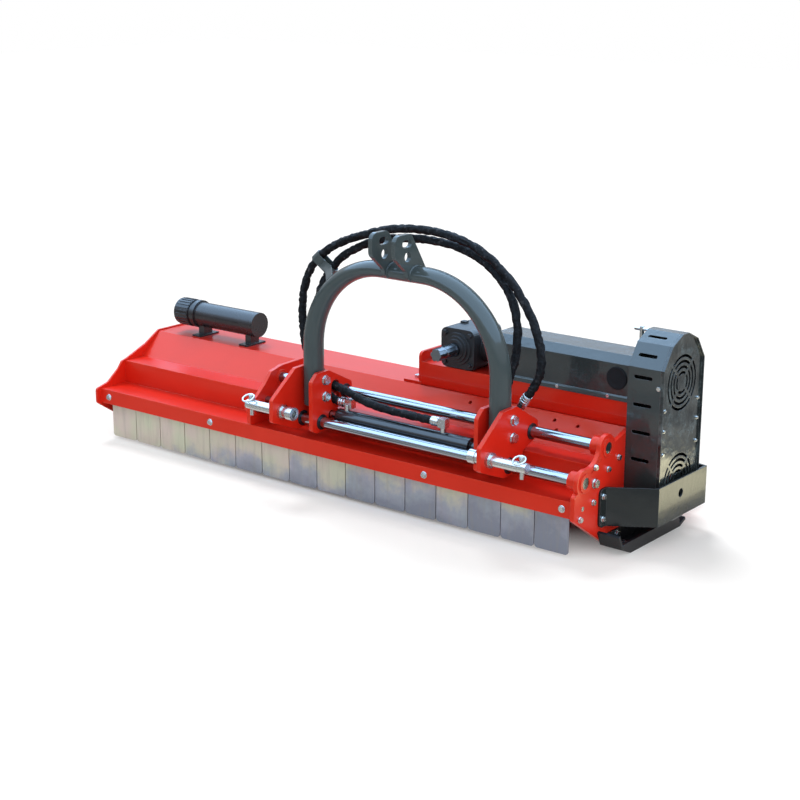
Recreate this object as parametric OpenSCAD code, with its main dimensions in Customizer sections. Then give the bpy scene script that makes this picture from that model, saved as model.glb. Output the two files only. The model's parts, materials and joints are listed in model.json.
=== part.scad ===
// Side-shift flail mower, carried on a tractor's three-point linkage.
// X runs along the rotor to the belt side, Y points away from the tractor, Z is up.
// All modules work from the left end of the deck, the face of the fascia and the ground;
// one move at the end puts the origin under the middle of the machine.

/* [Deck] */
// Width of the deck between the side plates
deck_w = 1672; // [1400:1:2200]
// Thickness of the deck sheet
sheet_t = 5; // [4:0.5:8]
// Height of the lower edge of the fascia
fascia_z = 111; // [100:1:120]
// Height of the fascia
fascia_h = 43; // [36:1:50]
// Depth of the front shelf behind the fascia
shelf_d = 100; // [95:1:106]
// Height of the riser behind the shelf
riser_h = 67; // [60:1:70]
// Depth of the ledge above the riser
ledge_d = 71; // [65:1:76]
// Depth of the inclined panel
incline_d = 74; // [68:1:80]
// Rise of the inclined panel
incline_h = 66; // [62:1:74]
// Depth of the flat top of the deck
top_d = 140; // [136:1:170]
// Thickness of the left side plate
left_plate_t = 6; // [5:0.5:10]
// Thickness of the right side plate
right_plate_t = 12; // [8:0.5:16]
// Distance by which the side plates stand ahead of the fascia
plate_nose = 17; // [10:1:24]
// Height of the lower edge of the side plates
plate_z = 19; // [14:1:26]

/* [Rotor] */
// Distance of the rotor axis behind the fascia
rotor_y = 312; // [306:1:318]
// Height of the rotor axis
rotor_z = 150; // [148:1:154]
// Radius of the rotor tube
rotor_r = 38; // [32:1:42]
// Wall of the rotor tube
rotor_wall = 8; // [6:0.5:10]
// Radius of the rotor's stub shafts
stub_r = 20; // [16:1:24]
// Radius of the circle on which the hammers hang
hammer_pin_circle = 62; // [60:1:64]
// Length of a hammer from its pin to its edge
hammer_l = 56; // [50:1:57]
// Width of the edge of a hammer
hammer_w = 64; // [48:1:72]
// Radius of a hammer pin
hammer_pin_r = 6; // [5:0.5:7]
// Hammers in each of the two rows
hammers_per_row = 8; // [6:1:9]
// Thickness of a bearing housing
bearing_t = 34; // [28:1:38]
// Radius of a rotor bearing housing
bearing_r = 56; // [50:1:62]
// Radius of the drive shaft's bearing housing
drive_bearing_r = 45; // [40:1:48]

/* [Drive] */
// Height of the drive shaft above the rotor axis
drive_rise = 258; // [252:1:264]
// Radius of the upper pulley
drive_pulley_r = 75; // [68:1:78]
// Radius of the lower pulley
driven_pulley_r = 60; // [54:1:66]
// Width of both pulleys
pulley_w = 56; // [52:1:60]
// Width of a V-belt at its back
belt_w = 13; // [11:0.5:14]
// Thickness of a V-belt
belt_t = 9; // [7:0.5:10]
// Number of V-belts
belts = 3; // [2:1:3]
// Distance of the gearbox's middle from the right end of the deck
gearbox_x = 530; // [500:1:560]
// Width and height of the gearbox
gearbox_w = 108; // [104:1:116]
// Depth of the gearbox behind its front cover
gearbox_d = 114; // [110:1:124]
// Outer radius of the splined input shaft
pto_r = 17.45; // [15:0.05:18]
// Length of the splined input shaft ahead of the gearbox
pto_l = 96; // [80:1:104]
// Radius of the drive shaft
drive_shaft_r = 16; // [13:1:18]
// Height of the gearbox stand
stand_h = 64; // [60:1:66]

/* [Guards] */
// Depth of the belt guard along X
belt_guard_w = 100; // [96:1:110]
// Half of the height and width of the belt guard's octagon
belt_guard_r = 101; // [99:1:106]
// Thickness of the belt guard's sheet
guard_t = 3; // [2:0.5:4]
// Outer radius of the guard's round grille
grille_r = 71; // [64:1:74]
// Width of a grille slot and of the web between two slots
grille_slot = 7; // [6:0.5:7.5]
// Length of the shaft guard
shaft_guard_l = 436; // [420:1:450]
// Height of the shaft guard
shaft_guard_h = 114; // [108:1:124]
// Depth of the shaft guard
shaft_guard_d = 132; // [124:1:138]
// Height of the bumper guard
bumper_h = 100; // [80:1:110]
// Thickness of the bumper plate
bumper_t = 6; // [4:0.5:8]
// Thickness of a skid plate
skid_t = 8; // [6:0.5:10]
// Height of a skid's outer lip
skid_lip = 31; // [24:1:36]
// Width of the right skid
right_skid_w = 62; // [50:1:70]
// Width of the left skid
left_skid_w = 45; // [38:1:50]

/* [Roller and flaps] */
// Radius of the rear roller
roller_r = 60; // [52:1:66]
// Distance of the roller axis behind the fascia
roller_y = 575; // [570:1:590]
// Wall of the rear roller
roller_wall = 6; // [4:0.5:8]
// Radius of the roller's axle
roller_axle_r = 15; // [12:0.5:18]
// Thickness of a flap
flap_t = 3; // [2:0.5:4]
// Radius of the flap rod
flap_rod_r = 6; // [5:0.5:7]
// Height of the flap rod
flap_rod_z = 136; // [134:1:138]
// Distance of the flap rod behind the fascia
flap_rod_y = 22; // [21:1:26]
// Height of the flaps' lower edge
flap_z = 8; // [5:1:20]
// Gap between two flaps
flap_gap = 2.5; // [2:0.5:4]

/* [Headstock] */
// Radius of a slide bar
bar_r = 15; // [13:0.5:16]
// Upper slide bar, distance behind the fascia
upper_bar_y = 127; // [124:1:132]
// Upper slide bar, height
upper_bar_z = 266; // [264:1:272]
// Lower slide bar, distance behind the fascia
lower_bar_y = 27; // [25:1:29]
// Lower slide bar, height
lower_bar_z = 200; // [198:1:204]
// Distance of the headstock's middle from the right end of the deck
headstock_x = 556; // [547:1:567]
// Distance between the middles of the arch's legs
leg_span = 612; // [596:1:624]
// Radius of the arch tube at its legs
tube_r = 28; // [25:0.5:29]
// Wall of the arch tube
tube_wall = 6; // [4:0.5:8]
// Height of the arch tube's middle line at its top
arch_z = 642; // [610:1:660]
// Middle line radius of the arch's bends
bend_r = 238; // [215:1:250]
// Height of the lower end of the arch's legs
leg_z = 242; // [240:1:246]
// Thickness of a hitch plate
hitch_t = 12; // [8:0.5:14]
// Radius of the lower hitch pins
hitch_pin_r = 14; // [11:0.5:14]
// Distance between the middles of the two lower hitch points
hitch_span = 825; // [815:1:835]
// Height of the lower hitch pins
hitch_pin_z = 236; // [232:1:240]
// Width of the lower link balls that the hitch pins carry
ball_w = 45; // [40:1:46]
// Clear gap between the top link ears
ear_gap = 62; // [52:1:70]
// Thickness of a top link ear
ear_t = 12; // [8:0.5:14]
// Height of the round top link hole above the hitch pins
mast_h = 456; // [452:1:460]
// Radius of the round top link hole
link_hole_r = 12.85; // [9.8:0.05:13]
// Length of the slotted top link hole
link_slot_l = 38; // [30:1:42]
// Width of the slotted top link hole
link_slot_w = 20; // [16:0.5:24]
// Radius of the cylinder barrel
barrel_r = 22; // [20:0.5:23]
// Length of the cylinder barrel
barrel_l = 440; // [430:1:460]
// Radius of the cylinder rod
rod_r = 11; // [9:0.5:12]
// Outer diameter of the sleeved hoses
hose_d = 22; // [18:1:22]

/* [Document tube] */
// Radius of the document tube
doc_r = 37; // [32:1:40]
// Wall of the document tube
doc_wall = 3; // [2:0.5:4]
// Length of the document tube without its cap
doc_l = 264; // [240:1:300]
// Length of the screw cap
doc_cap_l = 56; // [48:1:62]

/* [Clearances] */
// Radial clearance of shafts and bars in their bores
running = 0.05; // [0.02:0.01:0.08]
// Gap between loose neighbours
loose = 0.5; // [0.4:0.1:1]

/* [Hidden] */
$fn = 48;

red = [0.78, 0.13, 0.09];
dark_grey = [0.27, 0.31, 0.34];
black = [0.09, 0.09, 0.1];
steel = [0.7, 0.71, 0.73];
zinc = [0.72, 0.71, 0.64];
rubber = [0.12, 0.12, 0.13];

// Corner points of the deck's outline, from the fascia's lower edge to the rear lip
shelf_z = fascia_z + fascia_h;
ledge_z = shelf_z + riser_h;
top_z = ledge_z + incline_h;
ledge_y = shelf_d + ledge_d;
top_y = ledge_y + incline_d;
top_end_y = top_y + top_d;
rear_y = top_end_y + 135;
deck_line = [[0, fascia_z], [0, shelf_z], [shelf_d, shelf_z], [shelf_d, ledge_z], [ledge_y, ledge_z],
    [top_y, top_z], [top_end_y, top_z], [top_end_y + 70, top_z - 32], [top_end_y + 120, top_z - 97],
    [rear_y, fascia_z + 14]];

// The box round the whole machine, whose middle is the origin
x_min = -left_plate_t - left_skid_w;
right_face = deck_w + right_plate_t;
bumper_x = right_face + belt_guard_w + bumper_t + 7;
pin_y = -58;
nose_y = pin_y - 37;
y_min = nose_y;
y_max = roller_y + roller_r;

drive_z = rotor_z + drive_rise;
stand_z = top_z + stand_h;
cover_t = 12;
gearbox_y = rotor_y - gearbox_d / 2;
pulley_x = right_face + (belt_guard_w - pulley_w) / 2 - 6;
flaps = 16;
flap_in = 24;
flap_pitch = (deck_w - 2 * flap_in) / flaps;
leg_y = 42;
linch_r = 5.5;
linch_at = (hitch_span - leg_span) / 2 - tube_r - hitch_t + ball_w / 2 + linch_r + 2.5;
hitch_pin_l = linch_at + 15;
hitch_seat_l = linch_at - linch_r - 3.5;
hitch_lead_r = hitch_pin_r - 1;
gear_x = deck_w - gearbox_x;
mid_x = deck_w - headstock_x;
left_leg_x = mid_x - leg_span / 2;
right_leg_x = mid_x + leg_span / 2;
barrel_y = 68;
barrel_z = 212;
slide_l = 1069;
bracket_x = deck_w - slide_l;
bracket_t = 12;
bush_wall = 5;
end_disc = 12;
bolt_r = 8;
upper_bar = [upper_bar_y, upper_bar_z];
lower_bar = [lower_bar_y, lower_bar_z];
doc_y = 300;
doc_x = 108;
doc_z = top_z + 62;
barrel_x = left_leg_x + tube_r + hitch_t + 28;

// Points of an outline with each corner rounded to the radius r
function unit(v) = v / norm(v);
function corner(a, b, c, r, n) =
    let (u = unit(a - b), v = unit(c - b), half = acos(max(-1, min(1, u * v))) / 2,
         reach = min(r / tan(half), 0.49 * min(norm(a - b), norm(c - b))),
         rad = reach * tan(half), m = b + unit(u + v) * rad / sin(half),
         p = b + u * reach, q = b + v * reach,
         a0 = atan2(p[1] - m[1], p[0] - m[0]), a1 = atan2(q[1] - m[1], q[0] - m[0]),
         turn = (a1 - a0 + 540) % 360 - 180)
    [for (i = [0:n]) m + rad * [cos(a0 + turn * i / n), sin(a0 + turn * i / n)]];
function rounded(p, r, n = 5) =
    [for (i = [0:len(p) - 1])
        each corner(p[(i + len(p) - 1) % len(p)], p[i], p[(i + 1) % len(p)], r, n)];

// A bent sheet: the path and its copy moved to the right of the way by t
function side(a, b) = let (u = unit(b - a)) [u[1], -u[0]];
function shifted(p, i, t) =
    i == 0 ? p[0] + t * side(p[0], p[1]) :
    i == len(p) - 1 ? p[i] + t * side(p[i - 1], p[i]) :
    let (n = side(p[i - 1], p[i]), m = side(p[i], p[i + 1])) p[i] + t * (n + m) / (1 + n * m);
function sheet(p, t) =
    concat(p, [for (i = [len(p) - 1:-1:0]) shifted(p, i, t)]);

// A tube swept along hand-chosen points
function way(p, i) = unit(p[min(i + 1, len(p) - 1)] - p[max(i - 1, 0)]);
function carried(v, w) = unit(v - (v * w) * w);
function sides(p, i = 0, v = [0, 1, 0], out = []) =
    i == len(p) ? out :
    let (s = carried(v, way(p, i))) sides(p, i + 1, s, concat(out, [s]));

module swept(p, radii_a, radii_b, n, first = [0, 1, 0]) {
    s = sides(p, 0, first);
    points = [for (i = [0:len(p) - 1]) let (w = way(p, i), u = s[i], v = cross(w, u))
        for (k = [0:n - 1])
            p[i] + radii_a[i] * cos(360 * k / n) * u + radii_b[i] * sin(360 * k / n) * v];
    last = (len(p) - 1) * n;
    walls = [for (i = [0:len(p) - 2]) for (k = [0:n - 1]) let (a = i * n + k, b = i * n + (k + 1) % n)
        each [[a, a + n, b + n], [a, b + n, b]]];
    polyhedron(points, concat(walls, [[for (k = [0:n - 1]) k], [for (k = [n - 1:-1:0]) last + k]]));
}

// A profile drawn in Y and Z, t thick from x on, and one drawn in X and Z, t thick from y on
module slab_x(x, t) translate([x, 0, 0]) rotate([90, 0, 90]) linear_extrude(t) children();
module slab_y(y, t) translate([0, y + t, 0]) rotate([90, 0, 0]) linear_extrude(t) children();

// Round bars along each axis
module bar_x(x, l, at, r) translate([x, at[0], at[1]]) rotate([0, 90, 0]) cylinder(h = l, r = r);
module bar_y(y, l, at, r) translate([at[0], y, at[1]]) rotate([-90, 0, 0]) cylinder(h = l, r = r);

// A hexagon bolt head with its washer, lying on a face that looks along +X
module head_x(x, at, r) {
    bar_x(x, 2, at, 1.15 * r);
    translate([x + 2, at[0], at[1]]) rotate([0, 90, 0]) cylinder(h = 0.7 * r, r = r, $fn = 6);
}

module deck_shell() color(red) difference() {
    slab_x(0, deck_w) polygon(sheet(deck_line, sheet_t));
    for (x = fascia_bolts_x) bar_y(-1, sheet_t + 2, [x, fascia_bolt_z], 4);
    for (h = incline_holes) translate([h[0], ledge_y + h[1] * incline_d, ledge_z + h[1] * incline_h])
        rotate([atan(incline_h / incline_d), 0, 0])
            cylinder(h = 4 * sheet_t, r = incline_hole_r, center = true);
}
incline_holes = [for (h = [[55, 0.78], [321, 0.78], [393, 0.74], [340, 0.5]]) [gear_x + h[0], h[1]]];
incline_hole_r = 5;
fascia_bolt_z = fascia_z + fascia_h / 2;
fascia_bolt_in = 34;
fascia_bolt_mid = 420;
fascia_bolts_x = [fascia_bolt_in, fascia_bolt_in + fascia_bolt_mid,
    deck_w - fascia_bolt_in - fascia_bolt_mid, deck_w - fascia_bolt_in];

// Outline that both side plates share behind the slide bars
plate_low = [[-plate_nose, fascia_z + 2], [-plate_nose, shelf_z + 2]];
plate_back = [[top_end_y + 2, top_z + 4], [top_end_y + 74, top_z - 30], [top_end_y + 126, top_z - 96],
    [rear_y + 10, fascia_z + 16], [rear_y + 4, plate_z], [125, plate_z]];

module left_side_plate() color(red) difference() {
    slab_x(-left_plate_t, left_plate_t) polygon(rounded(concat(plate_low,
        [[30, shelf_z + 14], [72, ledge_z - 20], [88, ledge_z], [shelf_d + 10, ledge_z + 6],
         [ledge_y + 18, top_z - 29], [top_y, top_z + 4]], plate_back), 10));
    side_plate_holes(-left_plate_t, left_plate_t);
}

module side_plate_holes(x, t) {
    bar_x(x - 1, t + 2, [rotor_y, rotor_z], stub_r + 2);
    bar_x(x - 1, t + 2, [flap_rod_y, flap_rod_z], flap_rod_r + running);
}

boss_r = bar_r + 9;
eye_r = boss_r + 10;
tower_d = 58;
tower_h = 44;
hollow_r = 50;
// Middle of the circle of radius r that touches two circles of radius e about a and b, on the left of the way
function touching(a, b, e, r) = let (half = norm(b - a) / 2, u = unit(b - a))
    (a + b) / 2 + sqrt(pow(e + r, 2) - half * half) * [-u[1], u[0]];
hollow_at = touching(lower_bar, upper_bar, eye_r, hollow_r);
module right_outline() {
    polygon(rounded(concat([plate_low[0], [-plate_nose, lower_bar_z - 26], [lower_bar_y + 10, lower_bar_z],
        upper_bar, [upper_bar_y + 58, top_z - 8], [top_y - 20, top_z + 4], [rotor_y - tower_d, top_z + 4],
        [rotor_y - tower_d, drive_z + tower_h], [rotor_y + tower_d, drive_z + tower_h],
        [rotor_y + tower_d, top_z + 4]], plate_back), 10));
    for (at = [upper_bar, lower_bar]) translate(at) circle(eye_r);
    difference() {
        polygon([lower_bar, hollow_at, upper_bar]);
        translate(hollow_at) circle(hollow_r);
    }
}
module right_side_plate() color(red) difference() {
    union() {
        slab_x(deck_w, right_plate_t) right_outline();
        for (at = [upper_bar, lower_bar]) bar_x(deck_w - 26, 26 + right_plate_t + 4, at, boss_r);
    }
    for (at = [upper_bar, lower_bar]) bar_x(deck_w - 27, right_plate_t + 40, at, bar_r + running);
    side_plate_holes(deck_w, right_plate_t);
    bar_x(deck_w - 1, right_plate_t + 2, [rotor_y, drive_z], drive_shaft_r + 4);
}

// Fixed bracket that carries the left ends of the slide bars
module slide_bracket() color(red) difference() {
    union() {
        slab_x(bracket_x, bracket_t) difference() {
            polygon(rounded([[-4, shelf_z], [-4, lower_bar_z + 18], [28, lower_bar_z + 32],
                [62, lower_bar_z + 62], [86, upper_bar_z + 24], [upper_bar_y + 2, upper_bar_z + 34],
                [top_y - 12, top_z + 16], [top_y + 14, top_z + 8], [top_y + 14, shelf_z]], 6));
            polygon(concat(deck_line, [[rear_y, 0], [0, 0]]));
        }
        for (at = [upper_bar, lower_bar]) bar_x(bracket_x - 18, bracket_t + 22, at, boss_r - 2);
    }
    for (at = [upper_bar, lower_bar]) bar_x(bracket_x - 19, bracket_t + 30, at, bar_r + running);
    bar_x(bracket_x - 1, bracket_t + 2, barrel_at, rod_r - 3 + running);
}

module slide_bars() color(steel)
    for (at = [upper_bar, lower_bar])
        bar_x(bracket_x - 18, deck_w + right_plate_t - bracket_x + 20, at, bar_r);

// Sledge-shaped skids with an upturned front and an outer lip
skid_line = [[92, skid_lip + 24], [108, 20], [152, 0], [400, 0], [428, 12]];
module skid(x, w, lip_x) {
    slab_x(x, w) polygon(sheet([for (i = [len(skid_line) - 1:-1:0]) skid_line[i]], skid_t));
    slab_x(lip_x, skid_t) polygon([[112, skid_lip - 6], [152, skid_t], [396, skid_t], [396, skid_lip - 10],
        [380, skid_lip], [120, skid_lip]]);
}
module skids() color(black) {
    difference() {
        skid(right_face, right_skid_w, right_face + right_skid_w - skid_t);
        bar_z(right_face + 30, 140, -1, 20, 5);
    }
    skid(-left_plate_t - left_skid_w, left_skid_w, -left_plate_t - left_skid_w);
}
module bar_z(x, y, z, h, r) translate([x, y, z]) cylinder(h = h, r = r);

// Bent guard plate round the lower end of the belt guard
bumper_z = 67;
flange_x = right_face + bumper_t;
bumper_y = [92, 480];
bumper_line = [[flange_x, bumper_y[1]], [flange_x, bumper_y[1] - 26], [bumper_x, 432], [bumper_x, 190],
    [flange_x, bumper_y[0] + 28], [flange_x, bumper_y[0]]];
bumper_bolts_z = [bumper_z + 22, bumper_z + bumper_h - 20];
module bumper_guard() color(dark_grey) difference() {
    intersection() {
        translate([0, 0, bumper_z]) linear_extrude(bumper_h) polygon(sheet(bumper_line, bumper_t));
        slab_x(right_face - 1, bumper_x - right_face + 2) polygon(rounded([
            [bumper_y[0], bumper_z], [bumper_y[0], bumper_z + bumper_h], [bumper_y[1], bumper_z + bumper_h],
            [bumper_y[1], bumper_z]], 14));
    }
    bar_x(bumper_x - bumper_t - 1, bumper_t + 2, [299, bumper_z + 0.62 * bumper_h], 11);
}

// Beam on the deck that carries the gearbox and the shaft guard
stand_x = gear_x - 132;
stand_skirt = 38;
rib_t = 8;
module gearbox_stand() color(red) {
    slab_x(stand_x, deck_w - stand_x)
        polygon(sheet([[top_y + 2, stand_z - stand_skirt], [top_y + 2, stand_z], [top_end_y - 2, stand_z],
            [top_end_y - 2, stand_z - stand_skirt]], sheet_t));
    translate([stand_x - 52, top_y + 2, top_z]) cube([52 + rib_t, top_d - 4, 8]);
    slab_x(stand_x, rib_t) polygon(rounded([[top_y + 2, top_z], [top_y + 2, stand_z + 28],
        [top_end_y - 2, stand_z + 28], [top_end_y - 2, top_z]], 14));
    for (x = [gear_x + gearbox_w / 2, deck_w - rib_t]) translate([x, top_y + 14, top_z])
        cube([rib_t, top_d - 28, stand_h - sheet_t]);
}

// Cast gearbox: hollow case, open at the front where its cover closes it
case_t = 9;
case_round = 18;
neck_r = 40;
flange_r = 50;
flange_t = 10;
rear_boss = 6;
boss_root_r = gearbox_w / 2 - case_round - 2;
module gearbox_housing() color(black) difference() {
    union() {
        slab_y(gearbox_y, gearbox_d) polygon(rounded([[gear_x - gearbox_w / 2, stand_z],
            [gear_x - gearbox_w / 2, drive_z + gearbox_w / 2],
            [gear_x + gearbox_w / 2, drive_z + gearbox_w / 2],
            [gear_x + gearbox_w / 2, stand_z]], case_round));
        bar_x(gear_x, shaft_guard_x - gear_x, [rotor_y, drive_z], neck_r);
        bar_x(shaft_guard_x - flange_t, flange_t, [rotor_y, drive_z], flange_r);
        bar_x(gear_x - gearbox_w / 2 - rear_boss, rear_boss, [rotor_y, drive_z], neck_r);
        bar_x(gear_x - gearbox_w / 2 - rear_boss, rear_boss + case_t / 2, [rotor_y, drive_z], boss_root_r);
        for (x = [gear_x - gearbox_w / 2 + case_round, gear_x + gearbox_w / 2 - case_round - 16])
            translate([x, rotor_y - 8, drive_z + gearbox_w / 2 - 1]) cube([16, 16, 7]);
        bar_z(gear_x + 18, rotor_y + 20, drive_z + gearbox_w / 2 - 1, 14, 8, $fn = 6);
    }
    translate([gear_x - gearbox_w / 2 + case_t, gearbox_y - 1, drive_z - gearbox_w / 2 + case_t])
        cube([gearbox_w - 2 * case_t, gearbox_d - case_t + 1, gearbox_w - 2 * case_t]);
    bar_x(gear_x, shaft_guard_x - gear_x + 1, [rotor_y, drive_z], drive_shaft_r + running);
}

module gearbox_cover() color(black) difference() {
    union() {
        slab_y(gearbox_y - cover_t, cover_t) polygon(rounded([
            for (c = [[-1, -1], [-1, 1], [1, 1], [1, -1]])
                [gear_x, drive_z] + c * gearbox_w / 2], case_round));
        for (ring = [[44, 6], [36, 12], [28, 16]])
            bar_y(gearbox_y - cover_t - ring[1], ring[1], [gear_x, drive_z], ring[0]);
        for (i = [-1, 1], j = [-1, 1])
            bar_y(gearbox_y - cover_t - 7, 7, [gear_x + i * 40, drive_z + j * 40], 7, $fn = 6);
    }
    bar_y(gearbox_y - cover_t - 20, cover_t + 22, [gear_x, drive_z], pto_r + 1 + running);
}

// Folded cover over the drive shaft
shaft_guard_x = right_face - shaft_guard_l;
module shaft_guard() color(dark_grey) difference() {
    union() {
        slab_x(shaft_guard_x, shaft_guard_l) polygon(sheet(shaft_guard_line, guard_t));
        slab_x(shaft_guard_x, guard_t) polygon(shaft_guard_line);
        for (y = [rotor_y - shaft_guard_d / 2, rotor_y + shaft_guard_d / 2 - 16])
            translate([shaft_guard_x, y, stand_z])
            cube([shaft_guard_l - right_plate_t, 16, guard_t]);
    }
    bar_x(shaft_guard_x - 1, guard_t + 2, [rotor_y, drive_z], drive_shaft_r + 12);
    bar_y(rotor_y - shaft_guard_d / 2 - 1, guard_t + 2, [deck_w - 40, drive_z], 24);
}
shaft_guard_line = let (h = shaft_guard_d / 2, y = rotor_y, z = stand_z, top = stand_z + shaft_guard_h)
    [[y - h, z], [y - h, top - 20], [y - h + 22, top], [y + h - 22, top], [y + h, top - 20], [y + h, z]];

// Belt guard: a many-sided pan on the side plate and a flat cover with grilles
function guard_outline(g) = let (r = belt_guard_r - g, y = rotor_y, u = guard_top, l = rotor_z)
    [[y - r, l - 6], [y - r, u], [y - 0.62 * r, u + 0.54 * r], [y - 0.14 * r, u + 0.76 * r],
     [y + 0.14 * r, u + 0.76 * r], [y + 0.62 * r, u + 0.54 * r], [y + r, u], [y + r, l - 6],
     [y + 0.72 * r, l - 0.7 * r], [y + 0.26 * r, l - 0.94 * r], [y - 0.26 * r, l - 0.94 * r],
     [y - 0.72 * r, l - 0.7 * r]];
guard_top = drive_z + 48;
cover_x = right_face + belt_guard_w - 9;
module belt_guard_back() color(dark_grey) difference() {
    slab_x(right_face, cover_x - right_face) polygon(guard_outline(0));
    slab_x(right_face + guard_t, belt_guard_w) polygon(guard_outline(guard_t));
    for (z = [rotor_z, drive_z])
        bar_x(right_face - 1, guard_t + 2, [rotor_y, z], stub_r + 4);
    for (i = [0:3]) vent(rotor_y - belt_guard_r, drive_z + 24 - 70 * i);
    for (v = [[0.81, 0.27, 35], [0.38, 0.65, 65]])
        translate([0, rotor_y - v[0] * belt_guard_r, guard_top + v[1] * belt_guard_r]) rotate([-v[2], 0, 0])
            vent(0, 0);
}
vent_l = 52;
vent_h = 9;
module vent(y, z) translate([right_face + 16, y - 12, z - vent_h / 2]) {
    translate([vent_h / 2, 0, 0]) cube([vent_l - vent_h, 24, vent_h]);
    for (x = [vent_h / 2, vent_l - vent_h / 2])
        translate([x, 0, vent_h / 2]) rotate([-90, 0, 0]) cylinder(h = 24, r = vent_h / 2);
}

module belt_guard_cover() color(dark_grey) difference() {
    union() {
        slab_x(cover_x, guard_t) polygon(guard_outline(0));
        difference() {
            slab_x(cover_x, 9) polygon(guard_outline(0));
            slab_x(cover_x - 1, 11) polygon(guard_outline(guard_t));
        }
    }
    for (z = [drive_z, rotor_z + 4]) translate([cover_x - 1, rotor_y, z]) rotate([90, 0, 90]) grille();
}
// Four rings of slots, broken by four spokes
module grille() linear_extrude(guard_t + 2) difference() {
    for (i = [0:3]) difference() {
        circle(grille_r - 2 * i * grille_slot);
        circle(grille_r - (2 * i + 1) * grille_slot);
    }
    for (a = [45, 135]) rotate(a) square([2 * grille_r + 2, grille_slot], center = true);
}

// Bearings of the rotor, fixed to the inner faces of the side plates, and of the drive shaft
module bearing_housings() color(black) {
    for (x = [0, deck_w - bearing_t]) bearing(x, [rotor_y, rotor_z], stub_r, bearing_r);
    bearing(deck_w - bearing_t, [rotor_y, drive_z], drive_shaft_r, drive_bearing_r);
}
module bearing(x, at, r, outer_r) difference() {
    bar_x(x, bearing_t, at, outer_r);
    bar_x(x - 1, bearing_t + 2, at, r + running);
}

// V-belts: closed loops on both pulleys
belt_pitch = (pulley_w - 8) / belts;
function belt_x(i) = pulley_x + 4 + (i + 0.5) * belt_pitch - belt_w / 2;
module drive_belts() color(rubber)
    for (i = [0:belts - 1]) slab_x(belt_x(i), belt_w) difference() {
        belt_loop(loose + belt_t);
        belt_loop(loose);
    }
module belt_loop(g) hull() {
    translate([rotor_y, drive_z]) circle(drive_pulley_r - belt_t + g);
    translate([rotor_y, rotor_z]) circle(driven_pulley_r - belt_t + g);
}
module pulley(r, at, bore) difference() {
    bar_x(pulley_x, pulley_w, at, r);
    for (i = [0:belts - 1]) translate([belt_x(i) - loose, at[0], at[1]])
        rotate([0, 90, 0]) difference() {
            cylinder(h = belt_w + 2 * loose, r = r + 1);
            translate([0, 0, -1]) cylinder(h = belt_w + 2 * loose + 2, r = r - belt_t);
        }
    bar_x(pulley_x - 1, pulley_w + 2, at, bore);
    for (a = [0:60:300]) bar_x(pulley_x - 1, pulley_w + 2,
        at + [cos(a), sin(a)] * (bore + (r - belt_t - bore) / 2), (r - belt_t - bore) / 2 - 6);
}
module drive_pulley() color(black) pulley(drive_pulley_r, [rotor_y, drive_z], drive_shaft_r);
module driven_pulley() color(black) pulley(driven_pulley_r, [rotor_y, rotor_z], stub_r);

// Tensioning screw with a T-handle, standing on the shaft guard beside the belt guard
screw_x = deck_w - 24;
module tension_screw() color(steel) {
    y = rotor_y + 20;
    z = stand_z + shaft_guard_h;
    bar_z(screw_x, y, z, 62, 6);
    for (h = [0, 14]) bar_z(screw_x, y, z + h, 10, 12, $fn = 6);
    bar_x(screw_x - 20, 40, [y, z + 56], 5);
}

// Arms that carry the rear roller
arm_t = 8;
module roller_brackets() color(red) for (x = [0, deck_w - arm_t]) difference() {
    slab_x(x, arm_t) polygon(rounded([[rear_y - 90, plate_z + 6], [rear_y - 90, fascia_z - 10],
        [rear_y - 6, fascia_z - 10], [roller_y + 22, roller_r + 26], [roller_y + 26, roller_r - 20],
        [roller_y - 20, roller_r - 24]], 12));
    bar_x(x - 1, arm_t + 2, [roller_y, roller_r], roller_axle_r + running);
}
roller_in = arm_t + 10;
module rear_roller() color(black) {
    difference() {
        bar_x(roller_in, deck_w - 2 * roller_in, [roller_y, roller_r], roller_r);
        bar_x(roller_in + end_disc, deck_w - 2 * roller_in - 2 * end_disc, [roller_y, roller_r],
            roller_r - roller_wall);
    }
    for (x = [0, deck_w - roller_in]) bar_x(x, roller_in, [roller_y, roller_r], roller_axle_r);
}

// Hanging flaps on their rod behind the fascia
module flap_rod() color(steel)
    bar_x(-left_plate_t, right_face + left_plate_t, [flap_rod_y, flap_rod_z], flap_rod_r);
flap_round = 9;
module flap(i) color(zinc) difference() {
    x = flap_in + i * flap_pitch + flap_gap / 2;
    w = flap_pitch - flap_gap;
    union() {
        bar_x(x, w, [flap_rod_y, flap_rod_z], flap_rod_r + 4);
        slab_y(flap_rod_y - flap_t / 2, flap_t) {
            translate([x, flap_z + flap_round]) square([w, flap_rod_z - flap_z - flap_round]);
            translate([x + flap_round, flap_z]) square([w - 2 * flap_round, flap_round + 1]);
            for (c = [x + flap_round, x + w - flap_round])
                translate([c, flap_z + flap_round]) circle(flap_round);
        }
    }
    bar_x(x - 1, w + 2, [flap_rod_y, flap_rod_z], flap_rod_r + running);
}

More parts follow.
